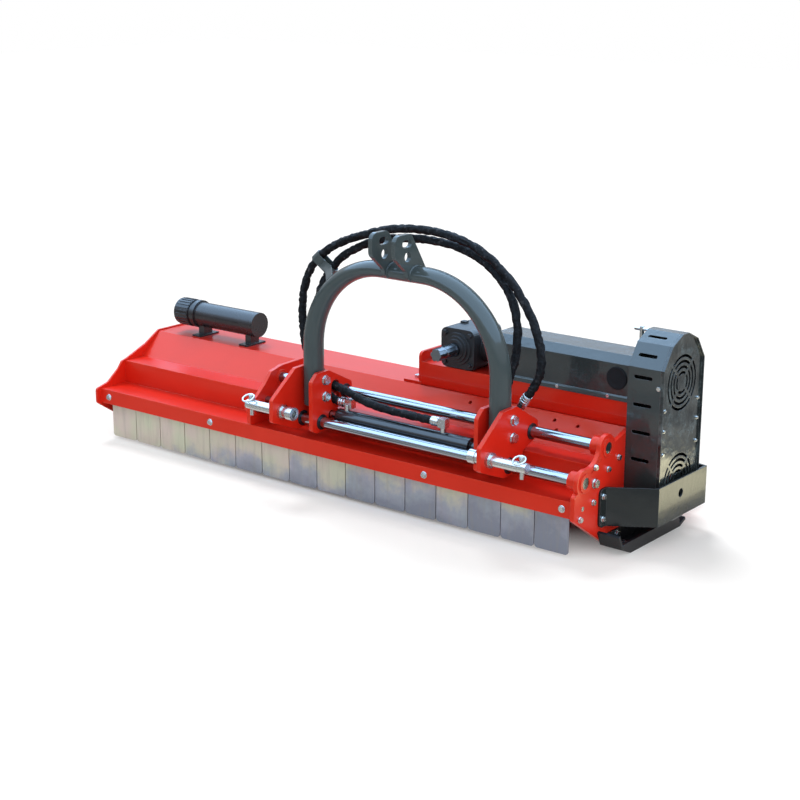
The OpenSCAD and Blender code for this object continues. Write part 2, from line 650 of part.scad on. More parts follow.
// Rotor tube with stub shafts and two rows of paired lugs
rotor_x = bearing_t + 6;
hammer_pitch = (deck_w - 2 * rotor_x - 60) / hammers_per_row;
lug_t = 8;
shank_w = 30;
function hammer_x(row, i) = rotor_x + 30 + (i + (row == 0 ? 0.27 : 0.73)) * hammer_pitch;
function hammer_at(row) = [rotor_y + (row == 0 ? -1 : 1) * hammer_pin_circle, rotor_z];
module rotor() color(red) difference() {
    union() {
        bar_x(rotor_x, deck_w - 2 * rotor_x, [rotor_y, rotor_z], rotor_r);
        bar_x(0, rotor_x, [rotor_y, rotor_z], stub_r);
        bar_x(deck_w - rotor_x, pulley_x + pulley_w + 4 - deck_w + rotor_x, [rotor_y, rotor_z], stub_r);
        for (row = [0, 1], i = [0:hammers_per_row - 1], s = [-1, 1])
            slab_x(hammer_x(row, i) + s * (shank_w / 2 + 1 + lug_t / 2) - lug_t / 2, lug_t) lug(row);
    }
    for (row = [0, 1]) bar_x(rotor_x - 1, deck_w, hammer_at(row), hammer_pin_r + running);
    bar_x(rotor_x + end_disc, deck_w - 2 * rotor_x - 2 * end_disc, [rotor_y, rotor_z], rotor_r - rotor_wall);
}
module lug(row) {
    s = row == 0 ? -1 : 1;
    polygon([[rotor_y + s * (rotor_r - 10), rotor_z - 18], [rotor_y + s * hammer_pin_circle, rotor_z - 14],
        [rotor_y + s * hammer_pin_circle, rotor_z + 14], [rotor_y + s * (rotor_r - 10), rotor_z + 18]]);
    translate([rotor_y + s * hammer_pin_circle, rotor_z]) circle(14);
}
module hammer_pins() color(steel) for (row = [0, 1], i = [0:hammers_per_row - 1]) {
    x = hammer_x(row, i) - shank_w / 2 - 1 - lug_t;
    l = shank_w + 2 + 2 * lug_t;
    bar_x(x, l, hammer_at(row), hammer_pin_r);
    bar_x(x - 6, 6, hammer_at(row), hammer_pin_r + 4, $fn = 6);
    bar_x(x + l, 6, hammer_at(row), hammer_pin_r + 4, $fn = 6);
}
// Forged hammers: an eye, a shank and a wide cutting foot, hanging from their pins
module hammers(row) color(black) for (i = [0:hammers_per_row - 1]) {
    at = hammer_at(row);
    x = hammer_x(row, i);
    difference() {
        union() {
            bar_x(x - shank_w / 2, shank_w, at, 12);
            slab_y(at[0] - 8, 16) translate([x, at[1]]) for (s = [-1, 1])
                polygon([[0, 0], [s * shank_w / 2, 0], [s * shank_w / 2, -22], [s * hammer_w / 2, -34],
                    [s * hammer_w / 2, 10 - hammer_l], [s * (hammer_w / 2 - 8), -hammer_l], [0, -hammer_l]]);
        }
        bar_x(x - shank_w, 2 * shank_w, at, hammer_pin_r + running);
    }
}

// Splined input shaft with its crown wheel, and drive shaft with the pinion that meshes with it
tooth_w = 2.4;
tooth_h = 5;
pinion_teeth = 8;
gear_ratio = 3;
pinion_r = 12;
crown_r = gear_ratio * pinion_r;
mesh_w = 8;
crown_y = rotor_y - pinion_r - tooth_h / 2 - 0.5;
pto_y = gearbox_y - cover_t - pto_l;
spline_w = 9;
spline_h = 2.6;
module pto_shaft() color(steel) difference() {
    union() {
        bar_y(pto_y, pto_l, [gear_x, drive_z], pto_r);
        bar_y(gearbox_y - cover_t, crown_y - gearbox_y + cover_t, [gear_x, drive_z], pto_r + 1);
        bar_y(crown_y - 9, 9, [gear_x, drive_z], crown_r + mesh_w / 2 + 1);
        for (k = [0:gear_ratio * pinion_teeth - 1]) translate([gear_x, crown_y - 1, drive_z])
            rotate([0, (k + 0.5) * 360 / (gear_ratio * pinion_teeth), 0])
                translate([crown_r - mesh_w / 2, 0, -tooth_w / 2]) cube([mesh_w, tooth_h, tooth_w]);
    }
    for (a = [0:60:300]) translate([gear_x, pto_y - 1, drive_z]) rotate([0, a, 0])
        translate([-spline_w / 2, 0, pto_r - spline_h]) cube([spline_w, pto_l - 22, 2 * spline_h]);
    translate([gear_x, pto_y + 30, drive_z]) rotate([-90, 0, 0]) rotate_extrude()
        translate([pto_r + 2, 0]) circle(5);
}
module drive_shaft() color(steel) {
    neck_x = gear_x + crown_r + mesh_w / 2 + 4;
    bar_x(neck_x, pulley_x + pulley_w + 4 - neck_x, [rotor_y, drive_z], drive_shaft_r);
    pinion_x = gear_x + crown_r - mesh_w / 2;
    bar_x(pinion_x, neck_x - pinion_x, [rotor_y, drive_z], pinion_r - tooth_h / 2 - 0.5);
    for (k = [0:pinion_teeth - 1]) translate([pinion_x, rotor_y, drive_z])
        rotate([k * 360 / pinion_teeth, 0, 0]) translate([0, -pinion_r - tooth_h / 2 + 0.5, -tooth_w / 2])
            cube([mesh_w, tooth_h + 1, tooth_w]);
}

// Document tube on two feet, with a ribbed screw cap on its left end
doc_at = [doc_y, doc_z];
neck_l = 40;
doc_neck_r = doc_r - 1;
module document_tube() color(black) difference() {
    union() {
        bar_x(doc_x, doc_l, doc_at, doc_r);
        bar_x(doc_x - neck_l, neck_l + 1, doc_at, doc_neck_r);
        bar_x(doc_x + 12, 14, doc_at, doc_r + 5);
        for (x = [doc_x + 28, doc_x + doc_l - 42]) {
            translate([x, doc_y - 18, top_z]) cube([22, 36, doc_z - top_z]);
            translate([x - 6, doc_y - 40, top_z]) cube([34, 80, 5]);
        }
    }
    bar_x(doc_x - neck_l - 1, neck_l + doc_l - doc_wall, doc_at, doc_neck_r - doc_wall);
}
module document_cap() color(black) difference() {
    union() {
        bar_x(doc_x - doc_cap_l, doc_cap_l, doc_at, doc_r + 3);
        for (a = [0:15:345]) translate([doc_x - doc_cap_l + 6, doc_y, doc_z]) rotate([a, 0, 0])
            translate([0, -2, doc_r]) cube([doc_cap_l - 8, 4, 5]);
    }
    bar_x(doc_x - doc_cap_l + 6, doc_cap_l, doc_at, doc_neck_r + loose);
}

// Arch: legs and bends of a tube that is flattened where it is bent
bend_steps = 14;
function bend(x, a0, way) = [for (i = [0:bend_steps]) let (a = a0 + way * 90 * i / bend_steps)
    [x + bend_r * cos(a), leg_y, arch_z - bend_r + bend_r * sin(a)]];
function arch_path(z) = concat([[left_leg_x, leg_y, z]], bend(left_leg_x + bend_r, 180, -1),
    bend(right_leg_x - bend_r, 90, -1), [[right_leg_x, leg_y, z]]);
flatter = [for (i = [0:bend_steps]) sin(90 * i / bend_steps)];
flats = concat([0], flatter, [for (i = [bend_steps:-1:0]) flatter[i]], [0]);
module arch_tube(wall, z) swept(arch_path(z), [for (f = flats) tube_r + 3 * f - wall],
    [for (f = flats) tube_r - 6 * f - wall], 24);
module hitch_arch() color(dark_grey) difference() {
    arch_tube(0, leg_z);
    arch_tube(tube_wall, leg_z - 1);
    for (z = leg_bolts_z, x = [left_leg_x, right_leg_x])
        bar_x(x - tube_r - 2, 2 * tube_r + 4, [leg_y, z], bolt_r + running);
}
leg_bolts_z = [268, 314];

// Top link ears, welded on the top of the arch
link_y = 4;
ear_top = 58;
ear_round = 20;
link_z = hitch_pin_z + mast_h;
module top_link_ears() color(dark_grey) difference() {
    for (s = [-1, 1]) slab_x(mid_x + s * (ear_gap + ear_t) / 2 - ear_t / 2, ear_t) difference() {
        polygon(rounded([[link_y - 52, link_z + 2], [link_y - 52, link_z + ear_top],
            [link_y + 14, link_z + ear_top],
            [leg_y + 40, arch_z + 8], [leg_y + 34, arch_z - 14], [leg_y - 34, arch_z - 14],
            [leg_y - 42, arch_z + 12]], ear_round));
        translate([link_y, link_z]) circle(link_hole_r);
        translate([link_y - 3, link_z + 34]) slot2(link_slot_l, link_slot_w);
    }
    arch_tube(0, leg_z);
}
module slot2(l, w) {
    square([l - w, w], center = true);
    for (s = [-1, 1]) translate([s * (l - w) / 2, 0]) circle(w / 2);
}

// Four hitch plates: the outer ones reach forward to the hitch pins
plate_rear = [[upper_bar_y + 26, upper_bar_z + 24], [upper_bar_y + 28, upper_bar_z - 16],
    [lower_bar_y + 65, lower_bar_z + 26], [lower_bar_y + 33, lower_bar_z - 22],
    [lower_bar_y - 21, lower_bar_z - 28]];
crest_y = 58;
crest_z = 346;
inner_crest_z = 338;
inner_nose = 12;
module outer_plate() polygon(rounded(concat([[nose_y, hitch_pin_z - 24], [nose_y, hitch_pin_z + 36],
    [0, crest_z - 2], [crest_y, crest_z]], plate_rear), 10));
module inner_plate() polygon(rounded(concat([[-inner_nose, lower_bar_z - 18],
    [-inner_nose, inner_crest_z - 22], [inner_nose, inner_crest_z], [crest_y, inner_crest_z]],
    plate_rear), 10));
bush_r = bar_r + bush_wall;
plate_xs = [for (x = [left_leg_x, right_leg_x]) each [x - tube_r - hitch_t, x + tube_r]];
hose_cut = [84, 273];
hose_cut_l = 68;
hose_cut_w = 34;
notch_at = [91, 292];
notch_r = 16;
module hitch_plates() color(red) for (k = [0:3]) slab_x(plate_xs[k], hitch_t) difference() {
    if (k == 0 || k == 3) outer_plate(); else inner_plate();
    for (at = [upper_bar, lower_bar]) translate(at) circle(bush_r);
    for (z = leg_bolts_z) translate([leg_y, z]) circle(bolt_r + running);
    if (k == 0 || k == 3) translate([pin_y, hitch_pin_z]) circle(hitch_pin_r + running);
    if (k < 2) translate(barrel_at) circle(rod_r + 2);
    if (k == 1) translate(hose_cut) rotate(90) slot2(hose_cut_l, hose_cut_w);
    if (k == 0) translate(notch_at) {
        circle(notch_r);
        translate([-notch_r, 0]) square([2 * notch_r, crest_z - notch_at[1]]);
    }
}
bush_lip = 2;
module slide_bushes() color(black) for (x = plate_xs, at = [upper_bar, lower_bar]) difference() {
    union() {
        bar_x(x, hitch_t, at, bush_r);
        bar_x(x + hitch_t, bush_lip, at, bush_r + 1);
    }
    bar_x(x - 1, hitch_t + 8, at, bar_r + running);
}
module hitch_bolts() color(steel) for (z = leg_bolts_z, k = [0, 2]) {
    x0 = plate_xs[k];
    x1 = plate_xs[k + 1] + hitch_t;
    bar_x(x0, x1 - x0, [leg_y, z], bolt_r);
    head_x(x1, [leg_y, z], 1.5 * bolt_r);
    bar_x(x0 - 12, 12, [leg_y, z], 1.5 * bolt_r, $fn = 6);
}

// Lower hitch pins with a collar outside and a nut inside their plates
pin_at = [pin_y, hitch_pin_z];
collar_t = 8;
nut_t = 20;
sleeve_l = 44;
sleeve_r = 15.5;
module hitch_pin() {
    bar_x(-hitch_t, hitch_seat_l + hitch_t, pin_at, hitch_pin_r);
    bar_x(hitch_seat_l - 1, hitch_pin_l - hitch_seat_l + 1, pin_at, hitch_lead_r);
    bar_x(0, collar_t, pin_at, hitch_pin_r + 6);
    bar_x(-hitch_t - 8, 8, pin_at, hitch_pin_r + 6);
    bar_x(-hitch_t - sleeve_l + nut_t - 2, sleeve_l - nut_t + 2, pin_at, sleeve_r);
    difference() {
        bar_x(-hitch_t - sleeve_l, nut_t, pin_at, hitch_pin_r + 4);
        bar_x(-hitch_t - sleeve_l - 1, nut_t, pin_at, hitch_pin_r - 5);
    }
}
module hitch_pins() color(steel) difference() {
    union() {
        translate([plate_xs[0], 0, 0]) mirror([1, 0, 0]) hitch_pin();
        translate([plate_xs[3] + hitch_t, 0, 0]) hitch_pin();
    }
    for (x = linch_xs) bar_z(x, pin_y, hitch_pin_z - 2 * hitch_pin_r, 4 * hitch_pin_r, linch_r + running);
}
linch_xs = [plate_xs[0] - linch_at, plate_xs[3] + hitch_t + linch_at];
ring_r = 16;
module linch_pin(x) color(steel) {
    bar_z(x, pin_y, hitch_pin_z - hitch_lead_r - 16, 2 * hitch_lead_r + 32, linch_r);
    bar_z(x, pin_y, hitch_pin_z + hitch_lead_r + loose, 14, linch_r + 3);
    translate([x, pin_y - ring_r + 2, hitch_pin_z + hitch_lead_r + 9]) rotate([25, 0, 0])
        rotate_extrude() translate([ring_r, 0]) circle(2.5, $fn = 16);
}

// Side-shift cylinder: barrel on the headstock, rod fixed to the slide bracket
barrel_at = [barrel_y, barrel_z];
module cylinder_barrel() color(dark_grey) difference() {
    union() {
        bar_x(barrel_x, barrel_l, barrel_at, barrel_r);
        bar_x(barrel_x + barrel_l, plate_xs[2] - barrel_x - barrel_l, barrel_at, 12);
    }
    bar_x(barrel_x - 1, barrel_l - 8, barrel_at, rod_r + running);
}
rod_l = 480;
module cylinder_rod() color(steel) {
    bar_x(bracket_x, rod_l, barrel_at, rod_r - 3);
    bar_x(bracket_x + bracket_t, rod_l - bracket_t, barrel_at, rod_r);
    bar_x(bracket_x - 12, 12, barrel_at, rod_r + 4, $fn = 6);
}

// Hose routes, from the headstock's middle: from the cylinder's ports through the left plates, up behind the
// left leg, over the arch and down to the parking plate
long_points = [[100, 68, 258], [54, 68, 258], [-6, 70, 258], [-76, 74, 258], [-141, 78, 262], [-191, 82, 272],
    [-232, 85, 282], [-272, 86, 291], [-304, 88, 307], [-332, 92, 332], [-350, 98, 366], [-358, 104, 408],
    [-360, 110, 456], [-356, 116, 504], [-344, 124, 552], [-320, 132, 596], [-284, 140, 634],
    [-236, 146, 664], [-176, 152, 688], [-101, 156, 703], [-16, 158, 708], [74, 158, 702], [154, 156, 680],
    [219, 150, 642], [269, 140, 588], [296, 126, 522], [302, 112, 456], [297, 97, 408], [292, 88, 372],
    [292, 88, 342]];
short_points = [[-223, 80, 250], [-250, 80, 250], [-276, 82, 255], [-308, 86, 272], [-338, 90, 298],
    [-364, 95, 332], [-384, 100, 376], [-398, 105, 426], [-405, 110, 480], [-402, 115, 532],
    [-386, 120, 584], [-354, 124, 626], [-310, 128, 660], [-256, 132, 686], [-191, 136, 708],
    [-111, 140, 728], [-21, 142, 736], [74, 142, 730], [159, 142, 706], [234, 140, 662], [296, 136, 604],
    [342, 130, 540], [370, 122, 476], [374, 116, 425], [362, 112, 392], [350, 110, 372], [330, 110, 342]];
long_route = [for (p = long_points) p + [mid_x, 0, 0]];
short_route = [for (p = short_points) p + [mid_x, 0, 0]];
module hose(p) swept(p, [for (q = p) hose_d / 2], [for (q = p) hose_d / 2], 10);
module long_hose() color(rubber) hose(long_route);
module short_hose() color(rubber) hose(short_route);

// Ports on the barrel, and the parking plate between the right plates that holds the hose ends
park_z = 300;
park_t = 8;
park_y = [76, 122];
port_r = 8;
port_w = 20;
port_h = 24;
ferrule_r = 12;
ferrule_l = 16;
module port(x, y, z, long) difference() {
    union() {
        translate([x, y - port_w / 2, z - port_h / 2]) cube([long, port_w, port_h]);
        bar_z(x + long / 2, barrel_y, barrel_z, z - barrel_z, port_r);
    }
    bar_x(barrel_x, barrel_l, barrel_at, barrel_r);
}
module hose_end(p) {
    end = p[len(p) - 1];
    up = p[len(p) - 2] - end;
    lean = atan2(up[0], up[2]);
    reach = (end[2] - park_z - park_t / 2) / cos(lean);
    translate(end) rotate([0, lean, 0]) {
        translate([0, 0, -reach]) cylinder(h = reach, r = 9);
        translate([0, 0, -ferrule_l]) cylinder(h = ferrule_l, r = ferrule_r, $fn = 6);
    }
}
module hydraulic_fittings() color(steel) {
    for (p = [long_route[0], short_route[0]]) port(p[0], p[1], p[2], 24);
    park_x = plate_xs[2] + hitch_t;
    translate([park_x, park_y[0], park_z]) cube([plate_xs[3] - park_x, park_y[1] - park_y[0], park_t]);
    hose_end(long_route);
    hose_end(short_route);
}

plate_bolts = [[180, 229], [132, 210], [72, 229], [67, 141], [9, 112]];
module deck_bolts() color(steel) {
    for (x = fascia_bolts_x) bar_y(-6, 6, [x, fascia_bolt_z], 7, $fn = 6);
    for (at = plate_bolts) head_x(right_face, at, 7);
    head_x(right_face, [71, 189], 11);
    for (z = bumper_bolts_z) head_x(flange_x, [105, z], 7);
    for (i = [0:2]) bar_y(rotor_y - shaft_guard_d / 2 - 4, 4, [shaft_guard_x + 60 + 150 * i, stand_z + 8], 5,
        $fn = 6);
    bar_z(stand_x - 30, rotor_y - 28, top_z + 8, 7, 10, $fn = 6);
    bar_z(stand_x - 30, rotor_y + 40, top_z + 8, 7, 10, $fn = 6);
    bar_y(rotor_y - belt_guard_r - 4, 4, [cover_x - 4, drive_z + 3], 6, $fn = 6);
    for (z = [240, 300, 352]) head_x(cover_x + guard_t, [rotor_y + belt_guard_r - 18, z], 4);
    for (z = [240, 300, 352]) head_x(cover_x + guard_t, [rotor_y - belt_guard_r + 18, z], 4);
    for (y = [180, 340]) bar_z(right_face + 24, y, skid_t, 7, 9, $fn = 6);
}

module place() translate([-(x_min + bumper_x) / 2, -(y_min + y_max) / 2, 0]) children();

place() deck_shell();
place() left_side_plate();
place() right_side_plate();
place() slide_bracket();
place() slide_bars();
place() skids();
place() bumper_guard();
place() gearbox_stand();
place() gearbox_housing();
place() gearbox_cover();
place() shaft_guard();
place() belt_guard_back();
place() belt_guard_cover();
place() drive_belts();
place() tension_screw();
place() bearing_housings();
place() roller_brackets();
place() flap_rod();
place() cylinder_rod();
place() document_tube();
place() deck_bolts();
place() rotor();
place() driven_pulley();
place() hammer_pins();
place() hammers(0);  // hammers_row_1
place() hammers(1);  // hammers_row_2
place() pto_shaft();
place() drive_shaft();
place() drive_pulley();
place() rear_roller();
place() document_cap();
place() hitch_arch();
place() top_link_ears();
place() hitch_plates();
place() slide_bushes();
place() hitch_bolts();
place() hitch_pins();
place() cylinder_barrel();
place() hydraulic_fittings();
place() long_hose();
place() short_hose();
place() linch_pin(linch_xs[0]);  // left_linch_pin
place() linch_pin(linch_xs[1]);  // right_linch_pin
place() flap(0);  // flap_01
place() flap(1);  // flap_02
place() flap(2);  // flap_03
place() flap(3);  // flap_04
place() flap(4);  // flap_05
place() flap(5);  // flap_06
place() flap(6);  // flap_07
place() flap(7);  // flap_08
place() flap(8);  // flap_09
place() flap(9);  // flap_10
place() flap(10);  // flap_11
place() flap(11);  // flap_12
place() flap(12);  // flap_13
place() flap(13);  // flap_14
place() flap(14);  // flap_15
place() flap(15);  // flap_16
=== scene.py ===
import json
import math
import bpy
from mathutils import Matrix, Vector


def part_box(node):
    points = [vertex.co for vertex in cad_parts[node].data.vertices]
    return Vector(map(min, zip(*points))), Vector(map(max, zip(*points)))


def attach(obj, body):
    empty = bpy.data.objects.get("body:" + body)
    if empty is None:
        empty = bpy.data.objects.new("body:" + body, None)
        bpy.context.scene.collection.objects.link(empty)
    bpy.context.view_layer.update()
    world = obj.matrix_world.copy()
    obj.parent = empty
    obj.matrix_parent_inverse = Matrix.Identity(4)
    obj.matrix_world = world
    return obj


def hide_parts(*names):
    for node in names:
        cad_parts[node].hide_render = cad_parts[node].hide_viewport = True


bl_info = {
    "name": "Side-shift flail mower",
    "version": (1, 0, 0),
    "blender": (4, 5, 0),
    "location": "View3D > Sidebar > Mower",
    "description": "Dresses the solids of a side-shift flail mower with finishes, hoses and small fittings",
    "category": "Object",
}

import bmesh
import bpy
from bpy.props import FloatProperty, FloatVectorProperty, IntProperty, PointerProperty
from mathutils import Matrix, Vector, noise

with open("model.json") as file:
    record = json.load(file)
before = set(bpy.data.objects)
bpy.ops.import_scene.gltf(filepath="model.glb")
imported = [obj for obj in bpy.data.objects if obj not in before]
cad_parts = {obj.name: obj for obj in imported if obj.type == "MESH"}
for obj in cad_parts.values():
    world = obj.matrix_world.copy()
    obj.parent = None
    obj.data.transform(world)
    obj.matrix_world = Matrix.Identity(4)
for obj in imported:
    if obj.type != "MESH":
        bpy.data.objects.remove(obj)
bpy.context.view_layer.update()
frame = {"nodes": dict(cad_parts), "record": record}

MM = 0.001
OWN = "mower_"  # keeps the names of the finishes apart from those that come with the solids
IMAGE = 800
SENSOR_MM = 36.0

# The flaps: the gap between two, the seed of their tones, and what turns a spot from bluish to yellowish:
# height, a common base, the drift from flap to flap, a flap's own tone and the clouds in it; the darker
# bluish end, at the foot and towards the belt side, is partly painted shade
FLAP_GAP = 2.5 * MM
FLAP_SEED, FLAP_SEED_STEP = 2.0, 3.7
FLAP_RISE, FLAP_BASE, FLAP_DRIFT, FLAP_TONE, FLAP_CLOUDS = 0.9, 0.62, 0.062, 0.3, 1.1

# The solids were drawn from the deck's left end and the fascia's face; this is where that corner lies here
DECK_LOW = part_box("deck_shell")[0]
CORNER = Vector((DECK_LOW.x, DECK_LOW.y, 0.0))


def at(x, y, z):
    """A point given in millimetres from the deck's left end, the fascia's face and the ground."""
    return CORNER + Vector((x, y, z)) * MM


# The headstock's middle at rest, in millimetres from the deck's left end
HEADSTOCK_X = 1116

# Points of the two hoses, given one by one, in millimetres from the headstock's middle, the fascia and the
# ground
LONG_ROUTE = [
    (100, 68, 258), (54, 68, 258), (-6, 70, 258), (-76, 74, 258), (-141, 78, 262), (-191, 82, 272),
    (-232, 85, 282), (-272, 86, 291), (-304, 88, 307), (-332, 92, 332), (-350, 98, 366), (-358, 104, 408),
    (-360, 110, 456), (-356, 116, 504), (-344, 124, 552), (-320, 132, 596), (-284, 140, 634),
    (-236, 146, 664), (-176, 152, 688), (-101, 156, 703), (-16, 158, 708), (74, 158, 702), (154, 156, 680),
    (219, 150, 642), (269, 140, 588), (296, 126, 522), (302, 112, 456), (297, 97, 408), (292, 88, 372),
    (292, 88, 342),
]
SHORT_ROUTE = [
    (-223, 80, 250), (-250, 80, 250), (-276, 82, 255), (-308, 86, 272), (-338, 90, 298),
    (-364, 95, 332), (-384, 100, 376), (-398, 105, 426), (-405, 110, 480), (-402, 115, 532),
    (-386, 120, 584), (-354, 124, 626), (-310, 128, 660), (-256, 132, 686), (-191, 136, 708),
    (-111, 140, 728), (-21, 142, 736), (74, 142, 730), (159, 142, 706), (234, 140, 662), (296, 136, 604),
    (342, 130, 540), (370, 122, 476), (374, 116, 425), (362, 112, 392), (350, 110, 372), (330, 110, 342),
]

# The arch in millimetres: half the span of its legs, their depth and foot, the height of its top and its bend
ARCH_HALF, ARCH_Y, ARCH_FOOT, ARCH_TOP, ARCH_BEND = 306, 42, 242, 642, 238
# Its tube: radius, wall, and by how much bending widens and flattens it
ARCH_TUBE, ARCH_WALL, ARCH_WIDER, ARCH_FLATTER = 28, 6, 3, 6
ARCH_STEPS, ARCH_SIDES = 36, 48

# The hoses: points to each chosen one; the sleeve's folds: pace along and round it, crease and lift
HOSE_STEPS = 12
FOLD_ALONG, FOLD_ROUND, FOLD_CREASE, FOLD_LIFT = 0.27, 1.1, 2.4, 0.25

# The hose holder: where it clasps the two hoses, the way they run there and the line of its foot
CLASPED_LONG, CLASPED_SHORT = LONG_ROUTE[15], SHORT_ROUTE[11]
CLASPED_WAY = (0.7, 0.15, 0.7)
HOLDER_FOOT = [(-262, 58, 590), (-276, 74, 600), (-298, 96, 606)]
HOLDER_WIDTH, HOLDER_BAND, HOLDER_ARM = 26 * MM, 3 * MM, 4 * MM
HOLDER_STEPS = 10

# Weld seams: the faces of the ears and of the slide bracket, and the deck's line under the bracket
EAR_FACES = (-43, -31, 31, 43)
EAR_SEAM_START, EAR_SEAM_TURN, EAR_SEAM_STEPS = -36, 252, 60
BRACKET_FACES = (603, 615)
BRACKET_SEAM = [(4, 154), (100, 154), (100, 221), (171, 221), (245, 287), (256, 287)]
SEAM_STEP, SEAM_SIDES = 3, 8
RIPPLE, RIPPLE_PACE = 0.14, 1.9

# Turned fittings as (distance along the axis, radius) pairs in millimetres
FERRULE = [
    (0, 10.5), (0, 12.6), (1, 13.2), (7, 13.2), (8, 12.2), (10, 12.2), (11, 13.0), (14, 13.0), (15, 12.3),
    (17, 12.3), (18, 13.0), (21, 13.0), (22, 12.3), (23.5, 12.3), (24, 11.6), (24, 10.5),
]
PLUG = [
    (-4, 8), (-4, 22), (0, 22.5), (0, 29), (1.5, 29.5), (3, 28.4), (3.4, 24), (2.2, 20), (2.6, 12), (3.2, 3),
]
WASHER = [(0.05, 5), (0.05, 9.6), (1, 9.6), (1.6, 9), (1.6, 5)]
FLANGE_BOLT = [(5.2, 4), (5.2, 11), (6.4, 11), (6.4, 8.6), (11, 8.6), (12.2, 7.4), (12.2, 2)]
PLUG_AT, PLUG_SIDES = (1632, 246, 408), 40
FASCIA_BOLTS = [(34, 0, 132.5), (454, 0, 132.5), (1218, 0, 132.5), (1638, 0, 132.5)]

# Folded strips as (depth, height) outlines in millimetres, and the places along the deck they run through
HEM = [(246, 351.2), (242.4, 351.2), (242.4, 360), (243.4, 363), (246, 365.6)]
HEM_RUN = (1249, 1460, 1671)
LIP = [(247, 314), (247, 291), (248.2, 288.6), (250.6, 287.4), (258, 287.4), (258, 290.4), (252, 290.4),
       (250, 292), (250, 314)]
LIP_RUN = (1018.2, 1345, 1671.8)

# The skid flanges: outline, layers, the side plates' faces with the way out of each, and the bolts
FLANGE = [(128, 21), (153, 8.3), (398, 8.3), (402, 26), (394, 43), (142, 43), (130, 34)]
FLANGE_LAYERS = (0.2, 2.7, 5.2)
SIDE_FACES = ((1684, 1), (-6, -1))
FLANGE_BOLTS_Y, FLANGE_BOLTS_Z, HEXAGON = (176, 268, 360), 31, 6

# The floor's glow fades in an ellipse under the deck: its middle, its half sizes in metres and its core
SHADE_Y, SHADE_HALF_X, SHADE_HALF_Y, SHADE_CORE = 0.05, 0.95, 0.3, 0.6
FLOOR_REACH, FLOOR_GLOW = 14.0, 0.5
# What the gloss sees, in metres: the sky, the bands round the horizon, the ground and a sunlit spot on it
SKY_REACH, SKY_HEIGHT = 12.0, 6.0
HORIZON, HORIZON_STEPS = 7.0, 32
BANDS = (("hedge_card", 0.02, 1.1, (0.05, 0.05, 0.05)), ("haze_card", 1.1, 3.2, (0.66, 0.72, 0.8)))
GROUND_HOLE_X, GROUND_HOLE_Y, GROUND_HEIGHT = 0.98, 0.42, 0.01
SPOT_X, SPOT_Y, SPOT_HEIGHT = (1.05, 1.4), (0.1, 0.58), 0.015
# Each sun's name, strength, spread in degrees and the way towards it
LAMPS = (("key", 1.9, 20, (-0.42, 0.26, 0.87)), ("fill", 0.9, 70, (0.9, -0.16, 0.4)))
# The white of the surroundings, as it falls on things; the camera and the gloss see it in full
AMBIENT = 0.62


class MowerFinish(bpy.types.PropertyGroup):
    """Colours of the mower's finishes."""

    red: FloatVectorProperty(
        name="Red coat", description="Colour of the deck and the plates", subtype="COLOR",
        size=3, min=0, max=1, default=(0.74, 0.022, 0.01))
    grey: FloatVectorProperty(
        name="Grey coat", description="Colour of the arch and the guards", subtype="COLOR",
        size=3, min=0, max=1, default=(0.056, 0.078, 0.086))
    black: FloatVectorProperty(
        name="Black coat", description="Colour of castings, skids and mouldings", subtype="COLOR",
        size=3, min=0, max=1, default=(0.012, 0.012, 0.014))
    zinc: FloatVectorProperty(
        name="Zinc plate", description="Colour of bolts, pins and fittings", subtype="COLOR",
        size=3, min=0, max=1, default=(0.62, 0.62, 0.6))
    chrome: FloatVectorProperty(
        name="Plated bars", description="Colour of the slide bars and the shafts", subtype="COLOR",
        size=3, min=0, max=1, default=(0.35, 0.37, 0.4))
    flap_top: FloatVectorProperty(
        name="Flap, upper end", description="Yellowish chromate near the hinge rod", subtype="COLOR",
        size=3, min=0, max=1, default=(0.6, 0.56, 0.45))
    flap_foot: FloatVectorProperty(
        name="Flap, lower end", description="Bluish zinc near the lower edge", subtype="COLOR",
        size=3, min=0, max=1, default=(0.25, 0.27, 0.33))


class MowerSizes(bpy.types.PropertyGroup):
    """Sizes of the small pieces that the dressing adds, and the camera's place and lens."""

    hose_d: FloatProperty(
        name="Hose diameter", description="Outer diameter of a sleeved hose", unit="LENGTH",
        min=0.016, max=0.024, default=0.022)
    hose_sides: IntProperty(
        name="Hose sides", description="Sides of the hose's section", min=8, max=32, default=16)
    wrinkle: FloatProperty(
        name="Sleeve wrinkle", description="Depth of the folds in the hose's sleeve", unit="LENGTH",
        min=0, max=0.005, default=0.0036)
    weld: FloatProperty(
        name="Weld seam", description="Radius of a weld seam", unit="LENGTH", min=0.001, max=0.006,
        default=0.0035)
    edge: FloatProperty(
        name="Edge softness", description="Radius that the light sees on sharp edges", unit="LENGTH",
        min=0, max=0.005, default=0.0022)
    camera_azimuth: FloatProperty(
        name="Camera azimuth", description="Turn of the camera from the front towards the belt side",
        subtype="ANGLE", default=math.radians(38.15))
    camera_elevation: FloatProperty(
        name="Camera elevation", description="Height angle of the camera", subtype="ANGLE",
        default=math.radians(15.62))
    camera_roll: FloatProperty(
        name="Camera roll", description="Tilt of the camera about its own axis", subtype="ANGLE",
        default=math.radians(0.24))
    camera_place: FloatVectorProperty(
        name="Camera place", description="Where the camera stands", subtype="TRANSLATION", unit="LENGTH",
        size=3, default=(2.826, -3.529, 1.477))
    focal_px: FloatProperty(
        name="Focal length", description="Focal length in pixels of a square picture",
        min=500, max=4000, default=1676.9)


